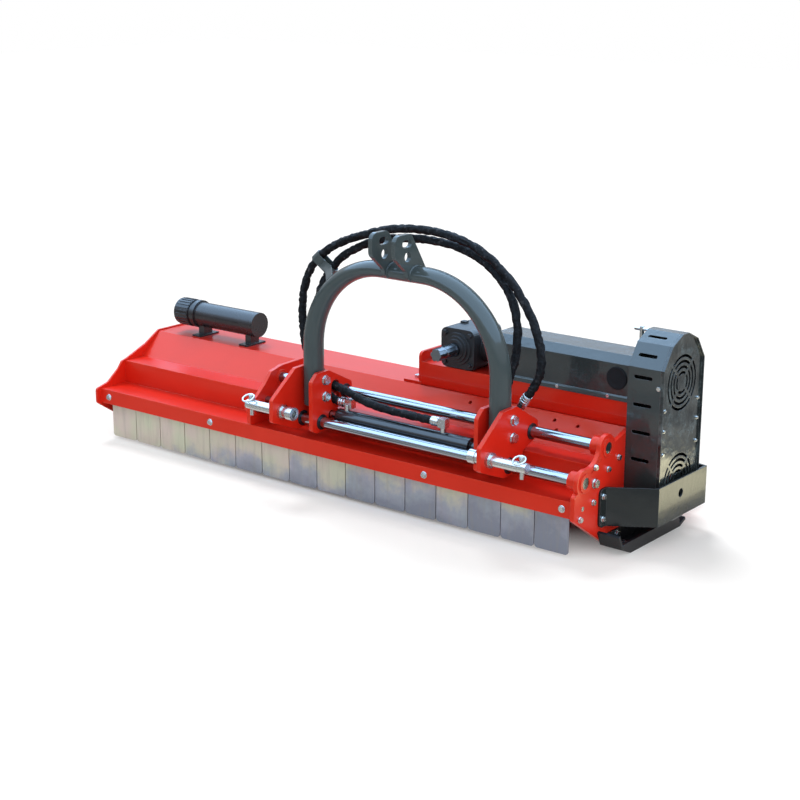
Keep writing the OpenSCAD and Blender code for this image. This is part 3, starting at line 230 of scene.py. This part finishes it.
class Value:
    """A socket's value in a node tree, with Python's operators as Math nodes."""

    def __init__(self, tree, socket):
        self.tree = tree
        self.socket = socket

    def _math(self, operation, a, b):
        return self.tree.node("ShaderNodeMath", {"operation": operation}, {0: a, 1: b})

    def __add__(self, other):
        return self._math("ADD", self, other)

    def __radd__(self, other):
        return self._math("ADD", other, self)

    def __sub__(self, other):
        return self._math("SUBTRACT", self, other)

    def __rsub__(self, other):
        return self._math("SUBTRACT", other, self)

    def __mul__(self, other):
        return self._math("MULTIPLY", self, other)

    def __rmul__(self, other):
        return self._math("MULTIPLY", other, self)

    def __or__(self, other):
        return self._math("MAXIMUM", self, other)

    def whole(self):
        """The value, rounded down."""
        return self.tree.node("ShaderNodeMath", {"operation": "FLOOR"}, {0: self})

    def held(self):
        """The value, kept between 0 and 1."""
        return self.tree.node("ShaderNodeClamp", {}, {"Value": self})


class Tree:
    """A node tree that grows by expressions."""

    def __init__(self, tree):
        self.tree = tree

    def node(self, kind, settings=None, inputs=None, output=0):
        """Adds a node, sets its settings first and then its sockets, and returns one of its outputs."""
        made = self.tree.nodes.new(kind)
        for name, value in (settings or {}).items():
            if name == "stops":
                self._stops(made.color_ramp, value)
            else:
                setattr(made, name, value)
        for key, value in (inputs or {}).items():
            self.feed(made.inputs[key], value)
        return Value(self, made.outputs[output])

    @staticmethod
    def _stops(ramp, stops):
        while len(ramp.elements) < len(stops):
            ramp.elements.new(1.0)
        for element, (place, colour) in zip(ramp.elements, stops):
            element.position = place
            element.color = (*colour, 1.0)

    def feed(self, socket, value):
        if isinstance(value, Value):
            self.tree.links.new(value.socket, socket)
        elif isinstance(value, (tuple, list)) and socket.type == "RGBA":
            socket.default_value = (*value[:3], 1.0)
        else:
            socket.default_value = value

    def ray(self, kind):
        return self.node("ShaderNodeLightPath", output="Is " + kind + " Ray")

    def seen(self):
        """1 for rays from the camera, mirrors and glass, 0 for the light that falls on things."""
        return self.ray("Camera") | self.ray("Glossy") | self.ray("Transmission")


class Paint(Tree):
    """One finish: a material whose Principled shader takes expressions."""

    EDGE_GAIN = 3.4
    EDGE_SAMPLES = 6

    def __init__(self, name):
        self.material = bpy.data.materials.new(OWN + name)
        self.material.use_nodes = True
        super().__init__(self.material.node_tree)
        self.shader = self.tree.nodes["Principled BSDF"]

    def set(self, **sockets):
        """Feeds the Principled shader's sockets by name, with spaces as underscores."""
        for name, value in sockets.items():
            self.feed(self.shader.inputs[name.replace("_", " ").title()], value)

    def blend(self, factor, other):
        """Mixes another shader over the finish by a factor."""
        own = Value(self, self.shader.outputs[0])
        mixed = self.node("ShaderNodeMixShader", {}, {0: factor, 1: own, 2: other})
        self.feed(self.tree.nodes["Material Output"].inputs["Surface"], mixed)

    def place(self):
        return self.node("ShaderNodeTexCoord", output="Object")

    def part_of(self, vector, axis):
        return self.node("ShaderNodeSeparateXYZ", {}, {"Vector": vector}, output=axis)

    def noise(self, scale, detail=2.0, roughness=0.5, vector=None):
        inputs = {"Scale": scale, "Detail": detail, "Roughness": roughness}
        inputs["Vector"] = vector or self.place()
        return self.node("ShaderNodeTexNoise", {}, inputs)

    def stretched(self, scale):
        return self.node("ShaderNodeMapping", {}, {"Vector": self.place(), "Scale": scale})

    def mix(self, factor, a, b):
        return self.node("ShaderNodeMix", {"data_type": "RGBA"}, {0: factor, 6: a, 7: b}, output=2)

    def ramp(self, factor, stops):
        return self.node("ShaderNodeValToRGB", {"stops": stops}, {"Fac": factor})

    def soft_edge(self, radius):
        return self.node("ShaderNodeBevel", {"samples": self.EDGE_SAMPLES}, {"Radius": radius})

    def edges(self, radius):
        """1 along sharp edges, 0 on flats."""
        flat = self.node("ShaderNodeNewGeometry", output="Normal")
        level = self.node("ShaderNodeVectorMath", {"operation": "DOT_PRODUCT"},
                          {0: self.soft_edge(radius), 1: flat}, output="Value")
        return ((1.0 - level) * self.EDGE_GAIN).held()

    def bump(self, height, distance, strength=1.0, normal=None):
        inputs = {"Height": height, "Distance": distance, "Strength": strength}
        if normal is not None:
            inputs["Normal"] = normal
        return self.node("ShaderNodeBump", {}, inputs)


def scaled(colour, factor):
    """A colour made lighter or darker, with numbers alone."""
    return tuple(min(1.0, c * factor) for c in colour)


def colours_of(context):
    return context.scene.mower_finish


def sizes_of(context):
    return context.scene.mower_sizes


def coat(name, colour, edge_highlight, edge, roughness=0.26, gloss=0.25, dents=0.0, shine=0.36, tint=(1.0, 1.0, 1.0),
         mottled=False):
    """A sprayed coat: clouding, orange peel, a painted highlight along the edges and, on thin sheet, shallow
    dents; one coat also has patches of painted reflection in its colour.
    """
    paint = Paint(name)
    cloud = paint.noise(7.0, detail=3.0)
    peel = paint.noise(900.0, detail=1.0)
    # Patches from a third to over three times the colour are a painted reflection of the surroundings on the
    # thin sheet.
    if mottled:
        reflection_blotch = paint.noise(24.0, detail=4.0, roughness=0.7)
        body = paint.ramp(reflection_blotch, [(0.36, scaled(colour, 0.35)), (0.5, scaled(colour, 0.8)),
                                   (0.62, scaled(colour, 2.2)), (0.72, scaled(colour, 3.2))])
    else:
        body = paint.mix(cloud, scaled(colour, 0.9), scaled(colour, 1.08))
    highlight_noise = paint.noise(38.0, detail=4.0, roughness=0.6)
    soft = paint.soft_edge(edge)
    if dents:
        waves = paint.noise(16.0, detail=3.0, roughness=0.6)
        soft = paint.bump(waves, distance=dents, normal=soft)
    # The lighter colour mixed in along the edges, broken up by noise, is a painted highlight.
    paint.set(
        base_color=paint.mix(paint.edges(0.7 * edge) * highlight_noise, body, edge_highlight),
        roughness=roughness + 0.1 * cloud,
        normal=paint.bump(peel, distance=0.00006, strength=0.35, normal=soft),
    )
    paint.shader.inputs["Coat Weight"].default_value = gloss
    paint.shader.inputs["Coat Roughness"].default_value = 0.06
    paint.shader.inputs["Specular IOR Level"].default_value = shine
    paint.shader.inputs["Specular Tint"].default_value = (*tint, 1.0)


def casting(name, colour, edge):
    """A painted casting: coarse grain under a satin coat."""
    paint = Paint(name)
    grain = paint.noise(420.0, detail=4.0, roughness=0.6)
    cloud = paint.noise(14.0)
    paint.set(
        base_color=paint.mix(cloud, scaled(colour, 0.8), scaled(colour, 1.5)),
        roughness=0.36 + 0.16 * cloud,
        normal=paint.bump(grain, distance=0.0004, strength=0.45, normal=paint.soft_edge(edge)),
    )
    paint.shader.inputs["Specular IOR Level"].default_value = 0.6


def plated(name, colour, edge, roughness, streak=(30.0, 30.0, 30.0)):
    """Plated steel: metallic, with faint streaks along the way it was worked."""
    paint = Paint(name)
    streaks = paint.noise(8.0, detail=4.0, roughness=0.6, vector=paint.stretched(streak))
    paint.set(
        base_color=paint.mix(streaks, scaled(colour, 0.8), scaled(colour, 1.12)),
        roughness=roughness + 0.12 * streaks,
        normal=paint.soft_edge(edge),
    )
    paint.shader.inputs["Metallic"].default_value = 1.0


def moulding(name, colour, edge, roughness, shine=0.5):
    """Matt moulded plastic or rubber with a fine grain."""
    paint = Paint(name)
    grain = paint.noise(1300.0)
    cloud = paint.noise(20.0)
    paint.set(
        base_color=paint.mix(cloud, scaled(colour, 0.8), scaled(colour, 1.3)),
        roughness=roughness + 0.1 * cloud,
        normal=paint.bump(grain, distance=0.0002, strength=0.4, normal=paint.soft_edge(edge)),
    )
    paint.shader.inputs["Specular IOR Level"].default_value = shine


def flap_plate(name, upper, lower, edge):
    """Chromated sheet: yellowish at the rod, bluish at the foot and towards the belt side, no two alike; the
    foot and the belt side are also darker, which is painted shade.
    """
    paint = Paint(name)
    place = paint.place()
    low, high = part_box("flap_01")
    pitch = high.x - low.x + FLAP_GAP
    number = ((paint.part_of(place, "X") - (low.x - FLAP_GAP / 2)) * (1.0 / pitch)).whole()
    seed = number * FLAP_SEED_STEP + FLAP_SEED
    tone = paint.node("ShaderNodeTexWhiteNoise", {"noise_dimensions": "1D"}, {"W": seed})
    height = (paint.part_of(place, "Z") - low.z) * (1.0 / (high.z - low.z))
    clouds = paint.noise(13.0, detail=4.0, roughness=0.65)
    streaks = paint.noise(9.0, detail=5.0, roughness=0.65, vector=paint.stretched((9.0, 9.0, 0.7)))
    # The level runs low at the foot and towards the belt side, where the colour is darker and bluer: the
    # zinc's own tone and painted shade.
    level = height * FLAP_RISE + FLAP_BASE - number * FLAP_DRIFT
    level = level + (tone - 0.5) * FLAP_TONE + FLAP_CLOUDS * (clouds - 0.5)
    shade = paint.ramp(level, [(0.0, lower), (0.3, scaled(lower, 1.35)), (0.58, upper),
                               (1.0, scaled(upper, 1.12))])
    rainbow = paint.ramp(paint.noise(11.0),
                         [(0.36, (0.66, 0.48, 0.5)), (0.5, upper), (0.64, (0.5, 0.6, 0.4))])
    stain = paint.ramp(streaks, [(0.5, (0.0, 0.0, 0.0)), (0.72, (1.0, 1.0, 1.0))])
    tinted = paint.mix(level.held() * 0.42, shade, rainbow)
    paint.set(
        base_color=paint.mix(stain * 0.34, tinted, scaled(upper, 0.55)),
        roughness=0.3 + 0.28 * clouds,
        normal=paint.bump(clouds, distance=0.004, strength=0.1, normal=paint.soft_edge(edge)),
    )
    paint.shader.inputs["Metallic"].default_value = 0.3


def woven_sleeve(name, colour):
    """Woven hose sleeve: a tight weave, with painted shade in the hollows of its folds and a painted
    highlight on their crests.
    """
    paint = Paint(name)
    weave = paint.noise(700.0, detail=1.0)
    folds = paint.noise(85.0, detail=3.0, roughness=0.65)
    # Darker in the folds' hollows and up to seven times lighter on their crests: painted shade and painted
    # highlights.
    fold_shade_and_highlight = paint.ramp(folds, [(0.45, scaled(colour, 0.5)), (0.62, scaled(colour, 1.2)),
                              (0.74, scaled(colour, 7.0))])
    woven = paint.bump(weave, distance=0.0008, strength=0.6)
    paint.set(
        base_color=fold_shade_and_highlight,
        roughness=0.45 + 0.3 * folds,
        normal=paint.bump(folds, distance=0.006, strength=0.8, normal=woven),
    )
    paint.shader.inputs["Specular IOR Level"].default_value = 0.12


# Solids whose finish differs a little from that of their slot
OWN_FINISH = {
    "belt_guard_cover": "mottled_coat", "belt_guard_back": "dented_coat", "shaft_guard": "dented_coat",
    "bumper_guard": "bumper_coat", "top_link_ears": "arch_coat", "cylinder_barrel": "barrel_coat",
    "document_tube": "tube_plastic", "document_cap": "tube_plastic", "pto_shaft": "oiled_steel",
    "drive_shaft": "oiled_steel",
}


def make_finishes(context):
    """Makes all finishes: one for each of the record's material slots and the few that differ."""
    f = colours_of(context)
    edge = sizes_of(context).edge
    # The second colour of each coat is the painted highlight along its edges.
    highlight_red, highlight_grey, highlight_black = (0.88, 0.17, 0.1), (0.2, 0.23, 0.26), scaled(f.black, 5.0)
    sheet = {"roughness": 0.18, "gloss": 0.5, "dents": 0.004}
    coat("red_paint", f.red, highlight_red, edge, gloss=0.1, tint=(1.0, 0.62, 0.32))
    coat("grey_paint", f.grey, highlight_grey, edge, roughness=0.13, gloss=0.3)
    coat("arch_coat", scaled(f.grey, 1.1), highlight_grey, edge, roughness=0.1, shine=0.22)
    coat("dented_coat", scaled(f.grey, 0.55), highlight_grey, edge, **sheet)
    coat("mottled_coat", scaled(f.grey, 0.45), highlight_grey, edge, mottled=True, **sheet)
    coat("bumper_coat", scaled(f.grey, 0.22), highlight_grey, edge, roughness=0.2, gloss=0.2, dents=0.002,
         shine=0.3)
    coat("barrel_coat", f.black, highlight_black, edge, roughness=0.2, gloss=0.5)
    coat("black_paint", f.black, highlight_black, edge, roughness=0.4, gloss=0.1, shine=0.24)
    casting("black_cast", f.black, edge)
    plated("ground_steel", f.chrome, 0.3 * edge, roughness=0.06, streak=(2.0, 40.0, 40.0))
    plated("oiled_steel", scaled(f.chrome, 0.55), 0.3 * edge, roughness=0.24)
    plated("zinc_steel", f.zinc, 0.4 * edge, roughness=0.2)
    flap_plate("yellow_zinc", f.flap_top, f.flap_foot, 0.5 * edge)
    moulding("belt_rubber", f.black, 0.3 * edge, roughness=0.7, shine=0.12)
    woven_sleeve("hose_rubber", f.black)
    moulding("black_plastic", f.black, 0.6 * edge, roughness=0.38)
    moulding("tube_plastic", scaled(f.black, 1.8), 0.6 * edge, roughness=0.22)


def finish(name):
    return bpy.data.materials[OWN + name]


def add_piece(name, build, degrees, slot, body, look=None):
    """Makes a piece of a bmesh: outward faces, smooth up to an angle, in the slot's finish or its own."""
    mesh = bpy.data.meshes.new(name)
    bmesh.ops.recalc_face_normals(build, faces=build.faces)
    build.to_mesh(mesh)
    build.free()
    mesh.shade_smooth()
    mesh.set_sharp_from_angle(angle=math.radians(degrees))
    mesh.materials.append(finish(look or slot))
    made = bpy.data.objects.new(name, mesh)
    bpy.context.collection.objects.link(made)
    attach(made, body)
    return made


def on_headstock(points):
    """Points given in millimetres from the headstock's middle, the fascia's face and the ground."""
    return [at(x + HEADSTOCK_X, y, z) for x, y, z in points]


def spline_points(points, steps):
    """Catmull-Rom points through the given ones."""
    out = []
    for i in range(len(points) - 1):
        a, b = points[max(i - 1, 0)], points[i]
        c, d = points[i + 1], points[min(i + 2, len(points) - 1)]
        for k in range(steps):
            t = k / steps
            out.append(0.5 * (2 * b + (c - a) * t + (2 * a - 5 * b + 4 * c - d) * t * t
                              + (3 * b - a - 3 * c + d) * t ** 3))
    return out + [points[-1]]


def skin(build, rings, closed=False):
    """Faces between one ring of points and the next, and caps where the row of rings is open."""
    pairs = list(zip(rings, rings[1:])) + ([(rings[-1], rings[0])] if closed else [])
    count = len(rings[0])
    for a, b in pairs:
        for k in range(count):
            build.faces.new((a[k], a[(k + 1) % count], b[(k + 1) % count], b[k]))
    if not closed:
        build.faces.new(list(reversed(rings[0])))
        build.faces.new(rings[-1])


def sweep(build, path, radius_at, sides):
    """A closed tube along a path, with the radius of each point from its ring and its turn."""
    across = Vector((0, 1, 0))
    rings = []
    for i, p in enumerate(path):
        way = (path[min(i + 1, len(path) - 1)] - path[max(i - 1, 0)]).normalized()
        across = (across - across.dot(way) * way).normalized()
        other = way.cross(across)
        turns = [2 * math.pi * k / sides for k in range(sides)]
        rings.append([build.verts.new(p + radius_at(i, t) * (math.cos(t) * across + math.sin(t) * other))
                      for t in turns])
    skin(build, rings)


def lathe(build, profile, start, way, sides=32):
    """A solid of revolution: (distance along the axis, radius) pairs in millimetres."""
    side = way.orthogonal().normalized()
    other = way.cross(side)
    turns = [2 * math.pi * k / sides for k in range(sides)]
    skin(build, [[build.verts.new(start + MM * (along * way + r * (math.cos(t) * side + math.sin(t) * other)))
                  for t in turns] for along, r in profile])


def strap(build, path, across, width, thick, closed=False):
    """A flat band of even width and thickness along a path."""
    rings = []
    last = len(path) - 1
    for i, p in enumerate(path):
        ahead = path[(i + 1) % len(path)] if closed else path[min(i + 1, last)]
        behind = path[i - 1] if closed else path[max(i - 1, 0)]
        out = (ahead - behind).cross(across).normalized()
        rings.append([build.verts.new(p + a * width / 2 * across + b * thick / 2 * out)
                      for a, b in ((-1, -1), (1, -1), (1, 1), (-1, 1))])
    skin(build, rings, closed)


def bead(build, path, radius):
    """A weld seam: a small tube with the ripples of the torch."""
    sweep(build, path, lambda i, turn: radius * (1 - RIPPLE + RIPPLE * math.sin(RIPPLE_PACE * i)), SEAM_SIDES)


class MOWER_OT_finishes(bpy.types.Operator):
    """Makes the finishes and gives one to every solid"""

    bl_idname = "mower.finishes"
    bl_label = "Finishes"

    def execute(self, context):
        make_finishes(context)
        for part in frame["record"]["subparts"]:
            solid = frame["nodes"][part["node"]]
            solid.data.materials.clear()
            solid.data.materials.append(finish(OWN_FINISH.get(part["node"], part["material_slot"])))
        return {"FINISHED"}


class MOWER_OT_arch(bpy.types.Operator):
    """Adds the smooth bent tube of the headstock's arch, flattened where it is bent"""

    bl_idname = "mower.arch"
    bl_label = "Arch"

    def execute(self, context):
        build = bmesh.new()
        outside = self.rings(build, 0.0)
        inside = self.rings(build, ARCH_WALL)
        skin(build, outside + inside[::-1], True)
        made = add_piece("arch_tube", build, 50, "grey_paint", "headstock", "arch_coat")
        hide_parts("hitch_arch")
        return {"FINISHED"}

    @staticmethod
    def rings(build, wall):
        """Sections of the tube from the foot of the left leg to that of the right, less a wall all round."""
        side, middle = ARCH_HALF - ARCH_BEND, ARCH_TOP - ARCH_BEND
        right = [(ARCH_HALF, ARCH_FOOT, 0.0, 0.0)]
        for k in range(ARCH_STEPS + 1):
            turn = 0.5 * math.pi * k / ARCH_STEPS
            bent = math.sin(turn)
            right.append((side + ARCH_BEND * math.cos(turn), middle + ARCH_BEND * bent, turn, bent))
        left = [(-x, z, math.pi - turn, bent) for x, z, turn, bent in right]
        rings = []
        for x, z, turn, bent in left + right[::-1]:
            deep = ARCH_TUBE + ARCH_WIDER * bent - wall
            thick = ARCH_TUBE - ARCH_FLATTER * bent - wall
            ring = []
            for k in range(ARCH_SIDES):
                a = 2 * math.pi * k / ARCH_SIDES
                out = thick * math.cos(a)
                spot = at(HEADSTOCK_X + x + out * math.cos(turn), ARCH_Y + deep * math.sin(a),
                          z + out * math.sin(turn))
                ring.append(build.verts.new(spot))
            rings.append(ring)
        return rings


class MOWER_OT_hoses(bpy.types.Operator):
    """Adds the two sleeved hoses with their crimped ferrules in place of the plain solids"""

    bl_idname = "mower.hoses"
    bl_label = "Hoses"

    def execute(self, context):
        sizes = sizes_of(context)
        for name, node, route in (("long", "long_hose", LONG_ROUTE), ("short", "short_hose", SHORT_ROUTE)):
            path = spline_points(on_headstock(route), HOSE_STEPS)
            ends = [self.ferrule(name + "_ferrule_a", path[0], path[1] - path[0]),
                    self.ferrule(name + "_ferrule_b", path[-1], path[-2] - path[-1])]
            build = bmesh.new()
            sweep(build, path, lambda i, turn: self.radius(sizes, i, turn), sizes.hose_sides)
            made = add_piece(name + "_sleeve", build, 60, "hose_rubber", "headstock")
            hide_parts(node)
            length = sum((b - a).length for a, b in zip(path, path[1:]))
        return {"FINISHED"}

    @staticmethod
    def radius(sizes, i, turn):
        """The sleeve's radius: loose folds that run round and along it, with sharp creases between."""
        spot = Vector((FOLD_ALONG * i, FOLD_ROUND * math.cos(turn), FOLD_ROUND * math.sin(turn)))
        crease = max(0.0, 1.0 - FOLD_CREASE * abs(noise.noise(spot)))
        return sizes.hose_d / 2 + sizes.wrinkle * (FOLD_LIFT - crease * crease)

    @staticmethod
    def ferrule(name, start, way):
        """A crimped ferrule over the end of a hose."""
        build = bmesh.new()
        lathe(build, FERRULE, start, way.normalized())
        return add_piece(name, build, 30, "zinc_steel", "headstock")


class MOWER_OT_holder(bpy.types.Operator):
    """Adds the bent strap on the arch's left shoulder that keeps the two hoses together"""

    bl_idname = "mower.holder"
    bl_label = "Hose holder"

    def execute(self, context):
        lower, upper = on_headstock([CLASPED_LONG, CLASPED_SHORT])
        along = Vector(CLASPED_WAY).normalized()
        apart = upper - lower
        side = (apart - apart.dot(along) * along).normalized()
        out = along.cross(side)
        reach = sizes_of(context).hose_d / 2 + HOLDER_BAND
        turns = [math.pi * k / HOLDER_STEPS for k in range(HOLDER_STEPS + 1)]
        upper_bend = [upper + reach * (math.cos(t) * out + math.sin(t) * side) for t in turns]
        lower_bend = [lower - reach * (math.cos(t) * out + math.sin(t) * side) for t in turns]
        build = bmesh.new()
        strap(build, upper_bend + lower_bend, along, HOLDER_WIDTH, HOLDER_BAND, True)
        flats = ((upper_bend[0] + lower_bend[-1]) / 2, (upper_bend[-1] + lower_bend[0]) / 2)
        near = min(flats, key=lambda middle: middle.y)
        strap(build, on_headstock(HOLDER_FOOT) + [near], along, HOLDER_WIDTH, HOLDER_ARM)
        add_piece("hose_holder", build, 35, "grey_paint", "headstock", "arch_coat")
        return {"FINISHED"}


class MOWER_OT_welds(bpy.types.Operator):
    """Adds the weld seams of the top link ears and of the slide bracket"""

    bl_idname = "mower.welds"
    bl_label = "Weld seams"

    def execute(self, context):
        radius = sizes_of(context).weld
        build = bmesh.new()
        deep, high = ARCH_TUBE + ARCH_WIDER, ARCH_TUBE - ARCH_FLATTER
        turns = [math.radians(EAR_SEAM_START + EAR_SEAM_TURN * k / EAR_SEAM_STEPS)
                 for k in range(EAR_SEAM_STEPS + 1)]
        for x in EAR_FACES:
            seam = [(x, ARCH_Y + deep * math.cos(t), ARCH_TOP + high * math.sin(t)) for t in turns]
            bead(build, on_headstock(seam), radius)
        add_piece("ear_welds", build, 60, "grey_paint", "headstock", "arch_coat")
        build = bmesh.new()
        for x in BRACKET_FACES:
            path = []
            for (y0, z0), (y1, z1) in zip(BRACKET_SEAM, BRACKET_SEAM[1:]):
                steps = max(2, round(math.hypot(y1 - y0, z1 - z0) / SEAM_STEP))
                path += [at(x, y0 + (y1 - y0) * k / steps, z0 + (z1 - z0) * k / steps) for k in range(steps)]
            bead(build, path, radius)
        add_piece("bracket_welds", build, 60, "red_paint", "deck")
        return {"FINISHED"}


class MOWER_OT_fittings(bpy.types.Operator):
    """Adds the plug and hem of the shaft guard, the lip of the gearbox stand and the fascia's washers"""

    bl_idname = "mower.fittings"
    bl_label = "Plug, hem, lip and washers"

    def execute(self, context):
        forward = Vector((0, -1, 0))
        build = bmesh.new()
        lathe(build, PLUG, at(*PLUG_AT), forward, PLUG_SIDES)
        add_piece("shaft_guard_plug", build, 30, "belt_rubber", "deck")
        self.strip("shaft_guard_hem", HEM, HEM_RUN, "grey_paint")
        self.strip("stand_lip", LIP, LIP_RUN, "red_paint")
        build = bmesh.new()
        for place in FASCIA_BOLTS:
            lathe(build, WASHER, at(*place), forward)
        add_piece("fascia_washers", build, 30, "zinc_steel", "deck")
        return {"FINISHED"}

    @staticmethod
    def strip(name, outline, run, slot):
        """A folded strip along the deck: one outline of depths and heights at each place of its run."""
        build = bmesh.new()
        skin(build, [[build.verts.new(at(x, y, z)) for y, z in outline] for x in run])
        add_piece(name, build, 30, slot, "deck")


class MOWER_OT_flanges(bpy.types.Operator):
    """Adds the flanges that bolt the skids to the side plates"""

    bl_idname = "mower.flanges"
    bl_label = "Skid flanges"

    def execute(self, context):
        flanges, bolts = bmesh.new(), bmesh.new()
        for face, way in SIDE_FACES:
            skin(flanges, [[flanges.verts.new(at(face + way * out, y, z)) for y, z in FLANGE]
                           for out in FLANGE_LAYERS])
            for y in FLANGE_BOLTS_Y:
                lathe(bolts, FLANGE_BOLT, at(face, y, FLANGE_BOLTS_Z), Vector((way, 0, 0)), HEXAGON)
        add_piece("skid_flanges", flanges, 30, "black_paint", "deck")
        add_piece("skid_flange_bolts", bolts, 30, "zinc_steel", "deck")
        return {"FINISHED"}


class MOWER_OT_stage(bpy.types.Operator):
    """Adds the floor, the studio light and the camera"""

    bl_idname = "mower.stage"
    bl_label = "Stage"

    def execute(self, context):
        scene = context.scene
        scene.view_settings.view_transform = "Standard"
        self.floor()
        self.cards()
        self.world(scene)
        self.lamps()
        self.camera(context)
        return {"FINISHED"}

    @staticmethod
    def floor():
        """A white floor that glows to the eye, save in the shade under the deck."""
        mesh = bpy.data.meshes.new("floor")
        r = FLOOR_REACH
        mesh.from_pydata([(-r, -r, 0), (r, -r, 0), (r, r, 0), (-r, r, 0)], [], [(0, 1, 2, 3)])
        floor = bpy.data.objects.new("floor", mesh)
        bpy.context.collection.objects.link(floor)
        paint = Paint("floor_paint")
        seen = paint.seen()
        paint.set(base_color=paint.mix(seen, (0.72, 0.72, 0.72), (1.0, 1.0, 1.0)), roughness=0.9)
        paint.shader.inputs["Specular IOR Level"].default_value = 0.0
        glow = paint.node("ShaderNodeEmission", {}, {"Color": (1.0, 1.0, 1.0), "Strength": 1.0})
        place = paint.place()
        along = paint.part_of(place, "X") * (1.0 / SHADE_HALF_X)
        across = (paint.part_of(place, "Y") - SHADE_Y) * (1.0 / SHADE_HALF_Y)
        clear = (along * along + across * across - SHADE_CORE).held()
        paint.blend(seen * (FLOOR_GLOW * clear), glow)
        mesh.materials.append(paint.material)

    @staticmethod
    def card(name, corners, colour, strength=1.0, patches=None):
        """A plate that only mirrors and gloss see, plain or in soft patches of two colours."""
        mesh = bpy.data.meshes.new(name)
        mesh.from_pydata(corners, [], [(i, i + 1, i + 3, i + 2) for i in range(0, len(corners) - 2, 2)])
        made = bpy.data.objects.new(name, mesh)
        bpy.context.collection.objects.link(made)
        paint = Paint(name)
        paint.set(base_color=(0.0, 0.0, 0.0), emission_color=colour, emission_strength=strength)
        if patches:
            clouds = paint.noise(2.6, detail=3.0, roughness=0.6)
            paint.set(emission_color=paint.ramp(clouds, [(0.42, colour), (0.6, patches)]))
        mesh.materials.append(paint.material)
        for ray in ("camera", "diffuse", "shadow", "transmission", "volume_scatter"):
            setattr(made, "visible_" + ray, False)

    def cards(self):
        """A sky overhead, two bands round the horizon and a dull ground with a sunlit spot, for the gloss."""
        sky = [(x, y, SKY_HEIGHT) for y in (-SKY_REACH, SKY_REACH) for x in (-SKY_REACH, SKY_REACH)]
        self.card("sky_card", sky, (0.4, 0.61, 0.88), strength=5.0)
        turns = [2 * math.pi * k / HORIZON_STEPS for k in range(HORIZON_STEPS + 1)]
        for name, low, high, colour in BANDS:
            ring = [(HORIZON * math.cos(t), HORIZON * math.sin(t), z) for t in turns for z in (low, high)]
            self.card(name, ring, colour)
        ground = []
        for a, b in ((-1, -1), (1, -1), (1, 1), (-1, 1), (-1, -1)):
            ground.append((GROUND_HOLE_X * a, GROUND_HOLE_Y * b, GROUND_HEIGHT))
            ground.append((HORIZON * a, HORIZON * b, GROUND_HEIGHT))
        self.card("ground_card", ground, (0.14, 0.13, 0.11), patches=(0.8, 0.76, 0.66))
        spot = [(x, y, SPOT_HEIGHT) for y in SPOT_Y for x in SPOT_X]
        self.card("sunlit_card", spot, (1.0, 0.93, 0.62), strength=4.2)

    @staticmethod
    def world(scene):
        """Plain white surroundings, dimmed where their light falls on things."""
        world = bpy.data.worlds.new("studio")
        scene.world = world
        world.use_nodes = True
        sky = Tree(world.node_tree)
        background = world.node_tree.nodes["Background"]
        sky.feed(background.inputs["Strength"], AMBIENT + (1 - AMBIENT) * sky.seen())
        sky.feed(background.inputs["Color"], (1.0, 1.0, 1.0))

    @staticmethod
    def lamps():
        """Two suns that the gloss doesn't see."""
        for name, energy, degrees, way in LAMPS:
            sun = bpy.data.lights.new(name, "SUN")
            sun.energy = energy
            sun.angle = math.radians(degrees)
            lamp = bpy.data.objects.new(name, sun)
            lamp.rotation_euler = Vector(way).to_track_quat("Z", "Y").to_euler()
            lamp.visible_glossy = False
            bpy.context.collection.objects.link(lamp)

    @staticmethod
    def camera(context):
        """A camera at its place, turned by azimuth and elevation and then rolled about its own axis."""
        sizes = sizes_of(context)
        az, el, roll = sizes.camera_azimuth, sizes.camera_elevation, sizes.camera_roll
        back = Vector((math.sin(az) * math.cos(el), -math.cos(az) * math.cos(el), math.sin(el)))
        flat = Vector((math.cos(az), math.sin(az), 0))
        rise = back.cross(flat)
        right = math.cos(roll) * flat + math.sin(roll) * rise
        up = back.cross(right)
        lens = bpy.data.cameras.new("camera")
        lens.sensor_width = SENSOR_MM
        lens.sensor_fit = "HORIZONTAL"
        lens.lens = sizes.focal_px * SENSOR_MM / IMAGE
        camera = bpy.data.objects.new("camera", lens)
        turn = Matrix((right, up, back)).transposed().to_4x4()
        camera.matrix_world = Matrix.Translation(sizes.camera_place) @ turn
        bpy.context.collection.objects.link(camera)
        context.scene.camera = camera


class MOWER_PT_panel(bpy.types.Panel):
    """The mower's dressing, step by step"""

    bl_idname = "MOWER_PT_panel"
    bl_label = "Flail mower"
    bl_space_type = "VIEW_3D"
    bl_region_type = "UI"
    bl_category = "Mower"

    def draw(self, context):
        for operator in OPERATORS:
            self.layout.operator(operator.bl_idname)
        for group in (colours_of(context), sizes_of(context)):
            for name in group.bl_rna.properties.keys():
                if name not in ("rna_type", "name"):
                    self.layout.prop(group, name)


OPERATORS = (MOWER_OT_finishes, MOWER_OT_arch, MOWER_OT_hoses, MOWER_OT_holder, MOWER_OT_welds,
             MOWER_OT_fittings, MOWER_OT_flanges, MOWER_OT_stage)
CLASSES = (MowerFinish, MowerSizes, *OPERATORS, MOWER_PT_panel)


def register():
    for made in CLASSES:
        bpy.utils.register_class(made)
    bpy.types.Scene.mower_finish = PointerProperty(type=MowerFinish)
    bpy.types.Scene.mower_sizes = PointerProperty(type=MowerSizes)


def unregister():
    del bpy.types.Scene.mower_finish
    del bpy.types.Scene.mower_sizes
    for made in reversed(CLASSES):
        bpy.utils.unregister_class(made)


def main():
    register()
    bpy.ops.mower.finishes()
    bpy.ops.mower.arch()
    bpy.ops.mower.hoses()
    bpy.ops.mower.holder()
    bpy.ops.mower.welds()
    bpy.ops.mower.fittings()
    bpy.ops.mower.flanges()
    bpy.ops.mower.stage()


if __name__ == "__main__":
    main()
